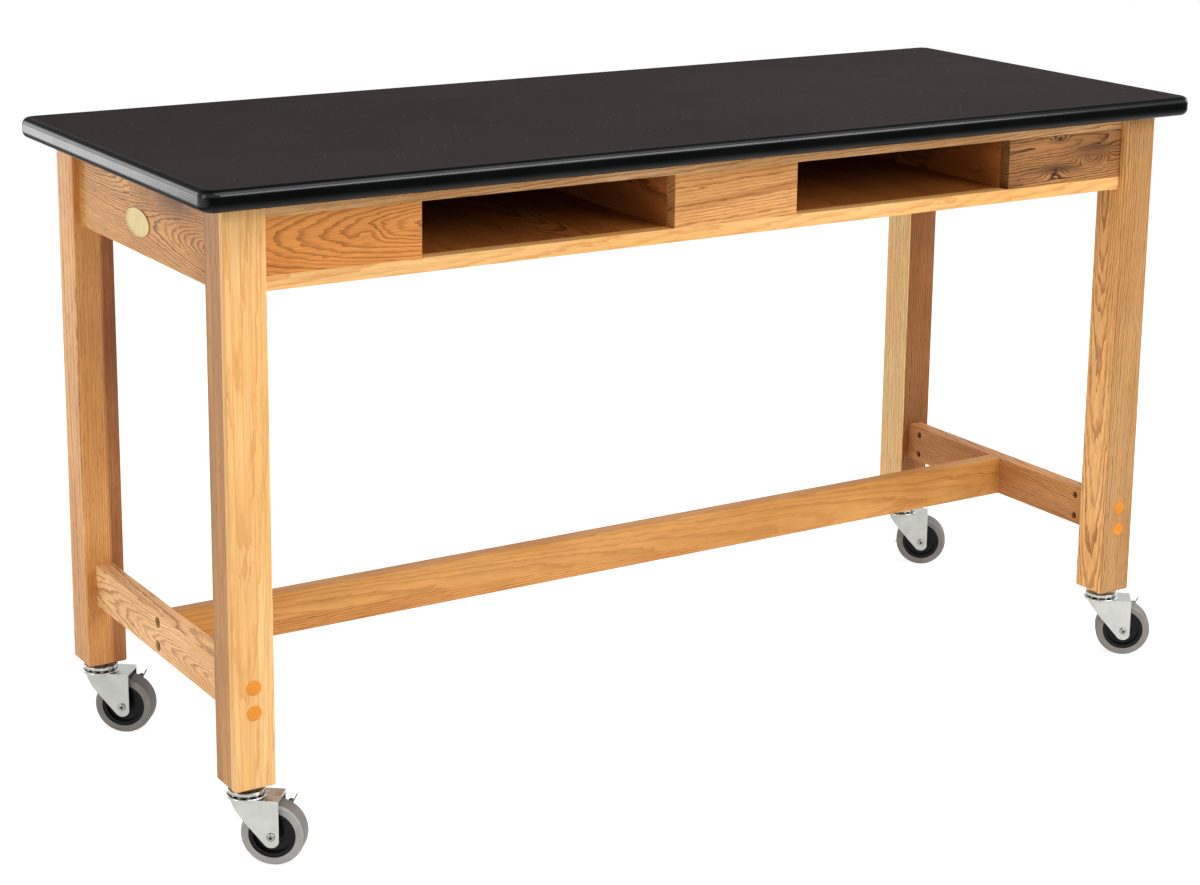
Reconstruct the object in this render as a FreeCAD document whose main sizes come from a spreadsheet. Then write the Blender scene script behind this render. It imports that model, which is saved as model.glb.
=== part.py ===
import FreeCAD, Part
import math
import os
import re
import Sketcher

# A wooden laboratory table on four swivel casters, in millimetres.
# X runs along the table, Y from front to back, Z up from the floor; the origin is at the bottom centre.

os.makedirs("parts", exist_ok=True)
doc = FreeCAD.newDocument("LaboratoryTable")
sheet = doc.addObject("Spreadsheet::Sheet", "Sizes")

SIZES = {
    # worktop: a core board between two sheets, with a rounded moulding all round
    "top_length": 1524,
    "top_depth": 610,
    "top_corner_radius": 20,
    "core_thick": 25,
    "laminate_thick": 1.2,
    "backer_thick": 0.8,
    "edge_thick": 10,
    "edge_round": 9,
    "barb_depth": 7,
    "barb_thick": 1.8,
    "barb_gap": 0.1,
    # legs
    "end_overhang": 37,
    "front_overhang": 37,
    "leg_side": 55,
    "leg_length": 720,
    "leg_round": 3,
    # frame under the worktop
    "apron_setback": 10,
    "apron_thick": 19,
    "apron_height": 107,
    "top_rail_height": 19,
    "lower_rail_height": 18,
    "side_panel_width": 208.5,
    "middle_width": 193,
    # book boxes behind the two openings
    "board_thick": 12,
    "box_back_gap": 66,
    # stretchers
    "stretcher_thick": 25,
    "stretcher_height": 57,
    "stretcher_lift": 86,
    "stretcher_round": 2,
    "stretcher_bore_radius": 7.5,
    "stretcher_bore_depth": 7,
    # cross bolts with barrel nuts, and the plugs over their heads
    "bolt_radius": 3.2,
    "bolt_hole_gap": 0.15,
    "bolt_length": 77,
    "bolt_tail": 7,
    "bolt_pitch": 32,
    "bolt_head_radius": 7,
    "bolt_head_thick": 3,
    "bolt_key_radius": 2.6,
    "bolt_key_depth": 2,
    "barrel_radius": 5,
    "barrel_length": 16,
    "plug_radius": 9.5,
    "plug_thick": 5,
    "plug_proud": 0.8,
    "plug_edge": 0.6,
    "plug_bore_depth": 12,
    # corner braces, their hanger bolts and nuts
    "brace_thick": 2.5,
    "brace_height": 60,
    "brace_gap": 10,
    "brace_flange": 30,
    "hanger_radius": 4,
    "hanger_in_leg": 35,
    "hanger_tail": 4,
    "nut_radius": 7.5,
    "nut_thick": 6.5,
    # clips that hold the worktop, and their screws
    "clip_leg": 24,
    "clip_width": 20,
    "clip_thick": 2,
    "end_clip_place": 70,
    "screw_radius": 2,
    "screw_length": 14,
    "screw_head_radius": 4,
    "screw_head_thick": 2.2,
    "screw_hole_gap": 0.1,
    # oval plate on the left end apron
    "plate_length": 74,
    "plate_height": 35,
    "plate_thick": 1.5,
    "plate_rim": 2,
    "plate_recess": 0.4,
    "plate_lift": 39,
    "plate_shift": 12,
    # casters
    "caster_trail": 34,
    "trail_angle": 39,
    "wheel_radius": 40,
    "tyre_width": 28,
    "tyre_shoulder": 5,
    "hub_radius": 29.5,
    "hub_width": 25,
    "hub_dish_radius": 24.5,
    "hub_dish_depth": 5,
    "hub_step_radius": 15,
    "hub_step_depth": 2.5,
    "boss_radius": 9,
    "boss_gap": 0.3,
    "axle_radius": 4,
    "axle_gap": 0.06,
    "axle_tail": 2,
    "axle_head_radius": 5.4,
    "axle_head_height": 3,
    "axle_head_round": 2.4,
    "axle_dimple_radius": 1.5,
    "axle_dimple_depth": 1.2,
    "fork_half_width": 20,
    "fork_thick": 3,
    "fork_back": 10,
    "fork_end_radius": 10.5,
    "fork_end_drop": 3.5,
    "fork_skirt": 2,
    "crown_gap": 4,
    "race_radius": 25,
    "race_height": 4.5,
    "race_round": 1.8,
    "ball_radius": 2.6,
    "ball_gap": 0.08,
    "ball_pitch_radius": 17,
    "cap_radius": 23,
    "cap_gap": 3,
    "cap_thick": 4,
    "cap_round": 1.2,
    "shoulder_radius": 10,
    "shoulder_height": 5,
    "kingpin_radius": 5,
    "kingpin_gap": 0.3,
    "rivet_radius": 8,
    "rivet_thick": 2.5,
    "stem_radius": 5.5,
    "stem_length": 38,
    "stem_groove": 0.8,
    "stem_groove_height": 3,
    "socket_gap": 0.1,
    "socket_wall": 1.3,
    "socket_flange_radius": 11,
    "socket_flange_thick": 1.5,
    "socket_spare": 2,
    # brake lever on the far end of each axle
    "lever_gap": 0.05,
    "lever_thick": 1.6,
    "lever_eye_radius": 9,
    "lever_half_width": 3.5,
    "lever_web_length": 39,
    "lever_web_round": 4,
    "lever_reach": 47,
    "lever_flange_lap": 13,
    "lever_flange_depth": 10,
    "lever_flange_round": 3,
    "lever_angle": 63,
    "lever_swing": 140,
    # one overrun lets every cut pass its surface
    "cut_over": 2,
}
BALLS_IN_A_RING = 10
FILLET_SHARE = 0.95
CLOSE = 0.01

# Places worked out from the sizes above.
PLACES = {
    "crown_bottom": "2 * wheel_radius + crown_gap",
    "crown_top": "crown_bottom + fork_thick",
    "race_top": "crown_bottom + race_height",
    "cap_bottom": "race_top + cap_gap",
    "cap_top": "cap_bottom + cap_thick",
    "stem_bottom": "cap_top + shoulder_height",
    "caster_height": "stem_bottom + socket_flange_thick",
    "frame_top": "caster_height + leg_length",
    "top_thick": "core_thick + laminate_thick + backer_thick",
    "core_bottom": "frame_top + backer_thick",
    "laminate_bottom": "core_bottom + core_thick",
    "core_length": "top_length - 2 * edge_thick",
    "core_depth": "top_depth - 2 * edge_thick",
    "core_corner_radius": "top_corner_radius - edge_thick",
    "leg_x": "top_length / 2 - end_overhang - leg_side / 2",
    "leg_y": "top_depth / 2 - front_overhang - leg_side / 2",
    "between_legs_x": "leg_x - leg_side / 2",
    "between_legs_y": "leg_y - leg_side / 2",
    "apron_out_x": "leg_x + leg_side / 2 - apron_setback",
    "apron_out_y": "leg_y + leg_side / 2 - apron_setback",
    "apron_in_x": "apron_out_x - apron_thick",
    "apron_in_y": "apron_out_y - apron_thick",
    "apron_bottom": "frame_top - apron_height",
    "apron_middle": "frame_top - apron_height / 2",
    "opening_bottom": "apron_bottom + lower_rail_height",
    "opening_top": "frame_top - top_rail_height",
    "opening_near": "middle_width / 2",
    "opening_far": "between_legs_x - side_panel_width",
    "box_back": "apron_in_y - box_back_gap - board_thick",
    "clip_place": "(opening_far + board_thick + between_legs_x) / 2",
    "clip_level": "clip_thick + (top_rail_height - clip_thick) / 2",
    "stretcher_bottom": "caster_height + stretcher_lift",
    "stretcher_middle": "stretcher_bottom + stretcher_height / 2",
    "stretcher_in_x": "leg_x - stretcher_thick / 2",
    "stretcher_out_x": "leg_x + stretcher_thick / 2",
    "bolt_hole_radius": "bolt_radius + bolt_hole_gap",
    "leg_barrel_y": "leg_y + leg_side / 2 - plug_bore_depth - bolt_length + bolt_tail",
    "long_barrel_x": "stretcher_out_x - stretcher_bore_depth - bolt_length + bolt_tail",
    "hanger_out": "brace_gap + brace_thick + nut_thick + hanger_tail",
    "screw_hole_radius": "screw_radius + screw_hole_gap",
    "ball_height": "race_top + cap_gap / 2",
    "groove_radius": "ball_radius + ball_gap",
    "kingpin_hole_radius": "kingpin_radius + kingpin_gap",
    "socket_bore_radius": "stem_radius + socket_gap",
    "socket_radius": "socket_bore_radius + socket_wall",
    "socket_length": "stem_length + socket_spare",
    "axle_hole_radius": "axle_radius + axle_gap",
    "fork_in": "fork_half_width - fork_thick",
    "fork_back_end": "caster_trail + fork_back",
    "lever_near": "fork_half_width + lever_gap",
    "nut_seat": "lever_near + lever_thick + lever_gap",
    "barb_corner_radius": "core_corner_radius / 2",
}

for row, (alias, value) in enumerate(SIZES.items(), start=1):
    sheet.set("A%d" % row, alias)
    sheet.set("B%d" % row, str(value))
    sheet.setAlias("B%d" % row, alias)
doc.recompute()

X_AXIS = FreeCAD.Vector(1, 0, 0)
Y_AXIS = FreeCAD.Vector(0, 1, 0)
Z_AXIS = FreeCAD.Vector(0, 0, 1)
ORIGIN = FreeCAD.Vector(0, 0, 0)
ALONG = {
    "z": FreeCAD.Rotation(),
    "x": FreeCAD.Rotation(Y_AXIS, 90),
    "y": FreeCAD.Rotation(X_AXIS, -90),
    "diagonal": FreeCAD.Rotation(Z_AXIS, FreeCAD.Vector(-1, -1, 0)),
}


def spell(text):
    """Write a sum of named sizes and places out as an expression on the sheet."""
    def word(match):
        name = match.group(0)
        if name in PLACES:
            return "(" + spell(PLACES[name]) + ")"
        return "Sizes." + name if name in SIZES else name
    return re.sub(r"[a-z_]+", word, str(text))


def bind(thing, size, text):
    thing.setExpression(size, spell(text))


def put(thing, place, rotation=None):
    """Set an object's placement, with its base bound to three sums."""
    thing.Placement = FreeCAD.Placement(ORIGIN, rotation or FreeCAD.Rotation())
    for axis, text in zip("xyz", place):
        bind(thing, "Placement.Base." + axis, text)


def new_body(label, place=(0, 0, 0)):
    body = doc.addObject("PartDesign::Body", label)
    body.Label = label
    put(body, place)
    return body


def block(body, name, low, high, cut=False):
    """A box between two corners, added to the body or cut from it."""
    kind = "Subtractive" if cut else "Additive"
    box = body.newObject("PartDesign::%sBox" % kind, name)
    put(box, low)
    for size, near, far in zip(("Length", "Width", "Height"), low, high):
        bind(box, size, "(%s) - (%s)" % (far, near))
    return box


def rod(body, name, radius, length, start, along="z", cut=False):
    """A cylinder from its start along an axis, added to the body or cut from it."""
    kind = "Subtractive" if cut else "Additive"
    cylinder = body.newObject("PartDesign::%sCylinder" % kind, name)
    put(cylinder, start, ALONG[along])
    bind(cylinder, "Radius", radius)
    bind(cylinder, "Height", length)
    return cylinder


def hexagon(body, name, radius, length, start, along="z", cut=False):
    kind = "Subtractive" if cut else "Additive"
    prism = body.newObject("PartDesign::%sPrism" % kind, name)
    put(prism, start, ALONG[along])
    prism.Polygon = 6
    bind(prism, "Circumradius", radius)
    bind(prism, "Height", length)
    return prism


def ring_groove(body, name, pitch_radius, groove_radius, height):
    torus = body.newObject("PartDesign::SubtractiveTorus", name)
    put(torus, (0, 0, height))
    bind(torus, "Radius1", pitch_radius)
    bind(torus, "Radius2", groove_radius)
    return torus


def ease(body, name, radius, wanted, wall=None):
    """Round those edges of the body's last feature that the test picks, within their wall."""
    doc.recompute()
    base = body.Tip
    edges = ["Edge%d" % (i + 1) for i, edge in enumerate(base.Shape.Edges) if wanted(edge)]
    fillet = body.newObject("PartDesign::Fillet", name)
    fillet.Base = (base, edges)
    bind(fillet, "Radius", "min(%s; %s * (%s))" % (radius, FILLET_SHARE, wall) if wall else radius)
    doc.recompute()
    return fillet


def runs_along(axis):
    def wanted(edge):
        return edge.Curve.TypeId == "Part::GeomLine" and abs(edge.Curve.Direction.dot(axis)) > 1 - CLOSE
    return wanted


upright = runs_along(Z_AXIS)


def is_circle(radius, axis, level):
    """Picks full circles of one radius that lie at one level along an axis."""
    def wanted(edge):
        curve = edge.Curve
        if curve.TypeId != "Part::GeomCircle":
            return False
        return abs(curve.Radius - radius) < CLOSE and abs(getattr(curve.Center, axis) - level) < CLOSE
    return wanted


def value(text):
    """The present value of a sum of named sizes."""
    result = sheet.evalExpression(spell(text))
    return float(getattr(result, "Value", result))


def new_sketch(body, name, role, offset="0"):
    sketch = body.newObject("Sketcher::SketchObject", name)
    plane = [feature for feature in body.Origin.OriginFeatures if feature.Role == role][0]
    sketch.AttachmentSupport = (plane, [""])
    sketch.MapMode = "FlatFace"
    bind(sketch, "AttachmentOffset.Base.z", offset)
    return sketch


def fix_point(sketch, element, end, across, up):
    """Hold one end of a sketch element at a place given by two sums."""
    for kind, text in (("DistanceX", across), ("DistanceY", up)):
        constraint = Sketcher.Constraint(kind, -1, 1, element, end, value(text))
        bind(sketch, "Constraints[%d]" % sketch.addConstraint(constraint), text)


def polygon(sketch, points):
    """A closed outline through points that are each given by two sums."""
    spots = [FreeCAD.Vector(value(across), value(up), 0) for across, up in points]
    first = len(sketch.Geometry)
    for i, spot in enumerate(spots):
        sketch.addGeometry(Part.LineSegment(spot, spots[(i + 1) % len(spots)]))
    for i in range(len(spots)):
        after = first + (i + 1) % len(spots)
        sketch.addConstraint(Sketcher.Constraint("Coincident", first + i, 2, after, 1))
    for i, (across, up) in enumerate(points):
        fix_point(sketch, first + i, 1, across, up)


def rounded_rectangle(sketch, length, depth, radius):
    """A rectangle about the origin with four equal round corners."""
    half_x = value(length) / 2
    half_y = value(depth) / 2
    bend = value(radius)
    first = len(sketch.Geometry)
    corners = ((1, 1), (-1, 1), (-1, -1), (1, -1))
    for i, (side_x, side_y) in enumerate(corners):
        centre = FreeCAD.Vector(side_x * (half_x - bend), side_y * (half_y - bend), 0)
        circle = Part.Circle(centre, Z_AXIS, bend)
        start = i * math.pi / 2
        sketch.addGeometry(Part.ArcOfCircle(circle, start, start + math.pi / 2))
    for i in range(4):
        here = sketch.Geometry[first + i].EndPoint
        there = sketch.Geometry[first + (i + 1) % 4].StartPoint
        sketch.addGeometry(Part.LineSegment(here, there))
    for i in range(4):
        line = first + 4 + i
        sketch.addConstraint(Sketcher.Constraint("Tangent", first + i, 2, line, 1))
        sketch.addConstraint(Sketcher.Constraint("Tangent", line, 2, first + (i + 1) % 4, 1))
        sketch.addConstraint(Sketcher.Constraint("Horizontal" if i % 2 == 0 else "Vertical", line))
    for i in range(1, 4):
        sketch.addConstraint(Sketcher.Constraint("Equal", first, first + i))
    bound = (
        (Sketcher.Constraint("Radius", first, bend), radius),
        (Sketcher.Constraint("DistanceX", first + 5, 1, first + 7, 1, 2 * half_x), length),
        (Sketcher.Constraint("DistanceY", first + 6, 1, first + 4, 1, 2 * half_y), depth),
    )
    for constraint, text in bound:
        bind(sketch, "Constraints[%d]" % sketch.addConstraint(constraint), text)
    sketch.addConstraint(Sketcher.Constraint("Symmetric", first, 3, first + 2, 3, -1, 1))


def pad(body, name, sketch, length, both_ways=False):
    solid = body.newObject("PartDesign::Pad", name)
    solid.Profile = sketch
    if both_ways:
        solid.SideType = "Symmetric"
    bind(solid, "Length", length)
    doc.recompute()
    return solid


def pocket(body, name, sketch, length):
    """Cut a sketch both ways from its plane and make sure that something came off."""
    doc.recompute()
    before = body.Shape.Volume
    hole = body.newObject("PartDesign::Pocket", name)
    hole.Profile = sketch
    hole.SideType = "Symmetric"
    bind(hole, "Length", length)
    doc.recompute()
    if not hole.Shape.Volume < before:
        raise ValueError(name + " cuts nothing")
    return hole


def mirrored(source, label, normal):
    twin = doc.addObject("Part::Mirroring", label)
    twin.Label = label
    twin.Source = source
    twin.Normal = normal
    return twin


def together(label, members):
    group = doc.addObject("Part::Compound", label)
    group.Label = label
    group.Links = members
    return group


def four_ways(label, members):
    """The members and their mirror images in the other three quarters of the table."""
    first = together(label + " first quarter", members)
    beside = mirrored(first, label + " beside", X_AXIS)
    half = together(label + " half", [first, beside])
    return together(label, [half, mirrored(half, label + " opposite", Y_AXIS)])


NODES = []


def keep(node):
    NODES.append(node)
    return node


# Worktop

def sheet_board(label, bottom, thick):
    body = new_body(label)
    outline = new_sketch(body, label + "_outline", "XY_Plane", bottom)
    rounded_rectangle(outline, "core_length", "core_depth", "core_corner_radius")
    pad(body, label + "_board", outline, thick)
    return body


def slab_screw_holes(body, bottom, top):
    """Pilot holes for the upright clip screws, in all four quarters."""
    for side_x in (-1, 1):
        for side_y in (-1, 1):
            for i, (across, along) in enumerate(clip_screw_places()):
                start = ("%d * (%s)" % (side_x, across), "%d * (%s)" % (side_y, along), bottom)
                name = "%s_pilot_%d_%d_%d" % (body.Name, i, side_x + 1, side_y + 1)
                rod(body, name, "screw_hole_radius", "(%s) - (%s)" % (top, bottom), start, cut=True)


def clip_screw_places():
    """Where the upright screws stand, in the right back quarter: long side first, then the end."""
    reach = "clip_thick + (clip_leg - clip_thick) / 2"
    return (
        ("clip_place", "apron_in_y - (%s)" % reach),
        ("apron_in_x - (%s)" % reach, "end_clip_place"),
    )


def worktop():
    core = sheet_board("top_core", "core_bottom", "core_thick")
    slot = new_sketch(core, "edge_slot_outline", "XY_Plane", "frame_top + top_thick / 2")
    rounded_rectangle(slot, "core_length + cut_over", "core_depth + cut_over",
                      "core_corner_radius + cut_over / 2")
    rounded_rectangle(slot, "core_length - 2 * barb_depth - 2 * barb_gap",
                      "core_depth - 2 * barb_depth - 2 * barb_gap", "barb_corner_radius")
    pocket(core, "edge_slot", slot, "barb_thick + 2 * barb_gap")
    screw_top = "frame_top - clip_thick + screw_length + barb_gap"
    slab_screw_holes(core, "core_bottom", screw_top)
    keep(core)
    backer = sheet_board("top_backer", "frame_top", "backer_thick")
    slab_screw_holes(backer, "frame_top", "core_bottom")
    keep(backer)
    keep(sheet_board("top_laminate", "laminate_bottom", "laminate_thick"))

    moulding = new_body("edge_moulding")
    ring = new_sketch(moulding, "moulding_outline", "XY_Plane", "frame_top")
    rounded_rectangle(ring, "top_length", "top_depth", "top_corner_radius")
    rounded_rectangle(ring, "core_length", "core_depth", "core_corner_radius")
    pad(moulding, "moulding_ring", ring, "top_thick")
    half_x = value("top_length / 2")
    half_y = value("top_depth / 2")
    inner_x = value("core_length / 2")
    inner_y = value("core_depth / 2")

    def on_the_rim(edge):
        box = edge.BoundBox
        flat = box.ZLength < CLOSE
        far = max(abs(box.XMin), abs(box.XMax)) > (half_x + inner_x) / 2
        deep = max(abs(box.YMin), abs(box.YMax)) > (half_y + inner_y) / 2
        return flat and (far or deep)

    ease(moulding, "moulding_round", "edge_round", on_the_rim, "min(edge_thick; top_thick / 2)")
    barb = new_sketch(moulding, "barb_outline", "XY_Plane", "frame_top + top_thick / 2")
    rounded_rectangle(barb, "core_length", "core_depth", "core_corner_radius")
    rounded_rectangle(barb, "core_length - 2 * barb_depth", "core_depth - 2 * barb_depth",
                      "barb_corner_radius")
    pad(moulding, "moulding_barb", barb, "barb_thick", both_ways=True)
    keep(moulding)


# Legs

def legs():
    """The front left leg; the other three are its mirror images."""
    leg = new_body("leg_front_left", ("-(leg_x)", "-(leg_y)", "caster_height"))
    half = "leg_side / 2"
    block(leg, "leg_stick", ("-leg_side / 2", "-leg_side / 2", 0), (half, half, "leg_length"))
    ease(leg, "leg_edges", "leg_round", lambda edge: upright(edge) or edge.BoundBox.ZMax < CLOSE)
    rod(leg, "stem_hole", "socket_radius + socket_gap", "socket_length + socket_gap", (0, 0, 0), cut=True)
    for name, sign in (("lower", -1), ("upper", 1)):
        level = "stretcher_middle - caster_height + %d * bolt_pitch / 2" % sign
        rod(leg, "bolt_hole_" + name, "bolt_hole_radius", "leg_side + cut_over",
            (0, "-leg_side / 2", level), "y", cut=True)
        rod(leg, "plug_hole_" + name, "plug_radius", "plug_bore_depth",
            (0, "-leg_side / 2", level), "y", cut=True)
    rod(leg, "hanger_hole", "hanger_radius + screw_hole_gap", "hanger_in_leg + cut_over",
        ("leg_side / 2 + cut_over / sqrt(2)", "leg_side / 2 + cut_over / sqrt(2)",
         "apron_middle - caster_height"), "diagonal", cut=True)
    keep(leg)
    keep(mirrored(leg, "leg_front_right", X_AXIS))
    back = keep(mirrored(leg, "leg_back_left", Y_AXIS))
    keep(mirrored(back, "leg_back_right", X_AXIS))


# Frame under the worktop

def plain_board(label, low, high):
    body = new_body(label)
    block(body, label + "_board", low, high)
    return body


def level_pilot(body, name, place_x, place_y, towards, along):
    """Pilot hole for a level clip screw, from an apron's inner face outwards."""
    level = "frame_top - (clip_level)"
    depth = "screw_length - clip_thick + screw_hole_gap"
    start = [place_x, place_y, level]
    if towards < 0:
        axis = "xy".index(along)
        start[axis] = "(%s) - (%s)" % (start[axis], depth)
    rod(body, name, "screw_hole_radius", depth, start, along, cut=True)


def frame():
    front = "-(apron_out_y)"
    inside = "-(apron_in_y)"
    top_rail = plain_board("front_top_rail", ("-(between_legs_x)", front, "opening_top"),
                           ("between_legs_x", inside, "frame_top"))
    for side in (-1, 1):
        level_pilot(top_rail, "rail_pilot_%d" % (side + 1), "%d * (clip_place)" % side, inside, -1, "y")
    keep(top_rail)
    keep(plain_board("front_lower_rail", ("-(between_legs_x)", front, "apron_bottom"),
                     ("between_legs_x", inside, "opening_bottom")))
    keep(plain_board("front_panel_middle", ("-(opening_near)", front, "opening_bottom"),
                     ("opening_near", inside, "opening_top")))
    keep(plain_board("front_panel_left", ("-(between_legs_x)", front, "opening_bottom"),
                     ("-(opening_far)", inside, "opening_top")))
    keep(plain_board("front_panel_right", ("opening_far", front, "opening_bottom"),
                     ("between_legs_x", inside, "opening_top")))

    back = plain_board("back_apron", ("-(between_legs_x)", "apron_in_y", "apron_bottom"),
                       ("between_legs_x", "apron_out_y", "frame_top"))
    for side in (-1, 1):
        level_pilot(back, "back_pilot_%d" % (side + 1), "%d * (clip_place)" % side, "apron_in_y", 1, "y")
    keep(back)
    for label, side in (("end_apron_left", -1), ("end_apron_right", 1)):
        near = "-(apron_out_x)" if side < 0 else "apron_in_x"
        far = "-(apron_in_x)" if side < 0 else "apron_out_x"
        end = plain_board(label, (near, "-(between_legs_y)", "apron_bottom"),
                          (far, "between_legs_y", "frame_top"))
        for place in (-1, 1):
            level_pilot(end, "%s_pilot_%d" % (label, place + 1), "%d * (apron_in_x)" % side,
                        "%d * end_clip_place" % place, side, "x")
        keep(end)


def book_boxes():
    """Floor, two side walls and a back for the compartment behind each opening."""
    front = "-(apron_in_y)"
    for name, side in (("left", -1), ("right", 1)):
        def across(near, far):
            if side < 0:
                return "-(%s)" % far, "-(%s)" % near
            return near, far
        low, high = across("opening_near - board_thick", "opening_far + board_thick")
        keep(plain_board("box_floor_" + name, (low, front, "opening_bottom - board_thick"),
                         (high, "box_back", "opening_bottom")))
        keep(plain_board("box_back_" + name, (low, "box_back", "opening_bottom - board_thick"),
                         (high, "box_back + board_thick", "frame_top")))
        for place, near, far in (("inner", "opening_near - board_thick", "opening_near"),
                                 ("outer", "opening_far", "opening_far + board_thick")):
            low, high = across(near, far)
            keep(plain_board("box_wall_%s_%s" % (name, place), (low, front, "opening_bottom"),
                             (high, "box_back", "frame_top")))


# Stretchers

def end_stretcher():
    """The left one, with its holes; the right one is its mirror image."""
    bar = new_body("end_stretcher_left")
    low = ("-(stretcher_out_x)", "-(between_legs_y)", "stretcher_bottom")
    high = ("-(stretcher_in_x)", "between_legs_y", "stretcher_bottom + stretcher_height")
    block(bar, "end_bar", low, high)
    ease(bar, "end_bar_edges", "stretcher_round", runs_along(Y_AXIS))
    reach = "between_legs_y - (leg_barrel_y) + bolt_tail + bolt_hole_gap"
    for sign in (-1, 1):
        level = "stretcher_middle + %d * bolt_pitch / 2" % sign
        for side in (-1, 1):
            name = "%d_%d" % (sign + 1, side + 1)
            start = "-(between_legs_y)" if side < 0 else "between_legs_y - (%s)" % reach
            rod(bar, "bolt_way_" + name, "bolt_hole_radius", reach, ("-leg_x", start, level), "y", cut=True)
            rod(bar, "barrel_way_" + name, "barrel_radius", "stretcher_thick / 2 + barrel_length / 2",
                ("-leg_x - barrel_length / 2", "%d * (leg_barrel_y)" % side, level), "x", cut=True)
        rod(bar, "long_bolt_way_%d" % (sign + 1), "bolt_hole_radius", "stretcher_thick + cut_over",
            ("-(stretcher_out_x)", 0, level), "x", cut=True)
        rod(bar, "long_bolt_bore_%d" % (sign + 1), "stretcher_bore_radius", "stretcher_bore_depth",
            ("-(stretcher_out_x)", 0, level), "x", cut=True)
    keep(bar)
    keep(mirrored(bar, "end_stretcher_right", X_AXIS))


def long_stretcher():
    bar = new_body("long_stretcher")
    block(bar, "long_bar", ("-(stretcher_in_x)", "-stretcher_thick / 2", "stretcher_bottom"),
          ("stretcher_in_x", "stretcher_thick / 2", "stretcher_bottom + stretcher_height"))
    ease(bar, "long_bar_edges", "stretcher_round", runs_along(X_AXIS))
    reach = "stretcher_in_x - (long_barrel_x) + bolt_tail + bolt_hole_gap"
    for sign in (-1, 1):
        level = "stretcher_middle + %d * bolt_pitch / 2" % sign
        for side in (-1, 1):
            name = "%d_%d" % (sign + 1, side + 1)
            start = "-(stretcher_in_x)" if side < 0 else "stretcher_in_x - (%s)" % reach
            rod(bar, "end_way_" + name, "bolt_hole_radius", reach, (start, 0, level), "x", cut=True)
            rod(bar, "back_way_" + name, "barrel_radius", "stretcher_thick / 2 + barrel_length / 2",
                ("%d * (long_barrel_x)" % side, "-barrel_length / 2", level), "y", cut=True)
    keep(bar)


def cross_bolt(label, place, along):
    """A flat headed bolt that runs from its head's seat along +X or +Y."""
    bolt = new_body(label, place)
    behind = {"x": ("-bolt_head_thick", 0, 0), "y": (0, "-bolt_head_thick", 0)}[along]
    rod(bolt, label + "_head", "bolt_head_radius", "bolt_head_thick", behind, along)
    rod(bolt, label + "_shank", "bolt_radius", "bolt_length", (0, 0, 0), along)
    hexagon(bolt, label + "_key", "bolt_key_radius", "bolt_key_depth", behind, along, cut=True)
    return bolt


def barrel_nut(label, place, along, across):
    nut = new_body(label, place)
    start = {"x": ("-barrel_length / 2", 0, 0), "y": (0, "-barrel_length / 2", 0)}[along]
    rod(nut, label + "_barrel", "barrel_radius", "barrel_length", start, along)
    through = {"x": ("-barrel_radius - cut_over", 0, 0), "y": (0, "-barrel_radius - cut_over", 0)}[across]
    rod(nut, label + "_hole", "bolt_hole_radius", "2 * barrel_radius + 2 * cut_over", through, across, cut=True)
    return nut


def wood_plug(label, place):
    plug = new_body(label, place)
    rod(plug, label + "_disc", "plug_radius", "plug_thick + plug_proud", (0, "-plug_proud", 0), "y")
    ease(plug, label + "_edge", "plug_edge",
         is_circle(value("plug_radius"), "y", value("-plug_proud")))
    return plug


def stretcher_fasteners():
    bolts = []
    nuts = []
    plugs = []
    for name, sign in (("lower", -1), ("upper", 1)):
        level = "stretcher_middle + %d * bolt_pitch / 2" % sign
        face = "-leg_y - leg_side / 2"
        bolts.append(cross_bolt("leg_bolt_" + name, ("-leg_x", face + " + plug_bore_depth", level), "y"))
        bolts.append(cross_bolt("long_bolt_" + name, ("-(stretcher_out_x) + stretcher_bore_depth", 0, level),
                                "x"))
        nuts.append(barrel_nut("leg_barrel_" + name, ("-leg_x", "-(leg_barrel_y)", level), "x", "y"))
        nuts.append(barrel_nut("long_barrel_" + name, ("-(long_barrel_x)", 0, level), "y", "x"))
        plugs.append(wood_plug("plug_" + name, ("-leg_x", face, level)))
    for label, pieces in (("stretcher_bolts", bolts), ("barrel_nuts", nuts)):
        at_legs = [piece for piece in pieces if piece.Label.startswith("leg")]
        at_middle = [piece for piece in pieces if piece.Label.startswith("long")]
        middle = together(label + " middle", at_middle)
        keep(together(label, [four_ways(label + " at legs", at_legs), middle,
                              mirrored(middle, label + " middle beside", X_AXIS)]))
    keep(four_ways("wood_plugs", plugs))


# Hidden steel: corner braces, hanger bolts and worktop clips

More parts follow.
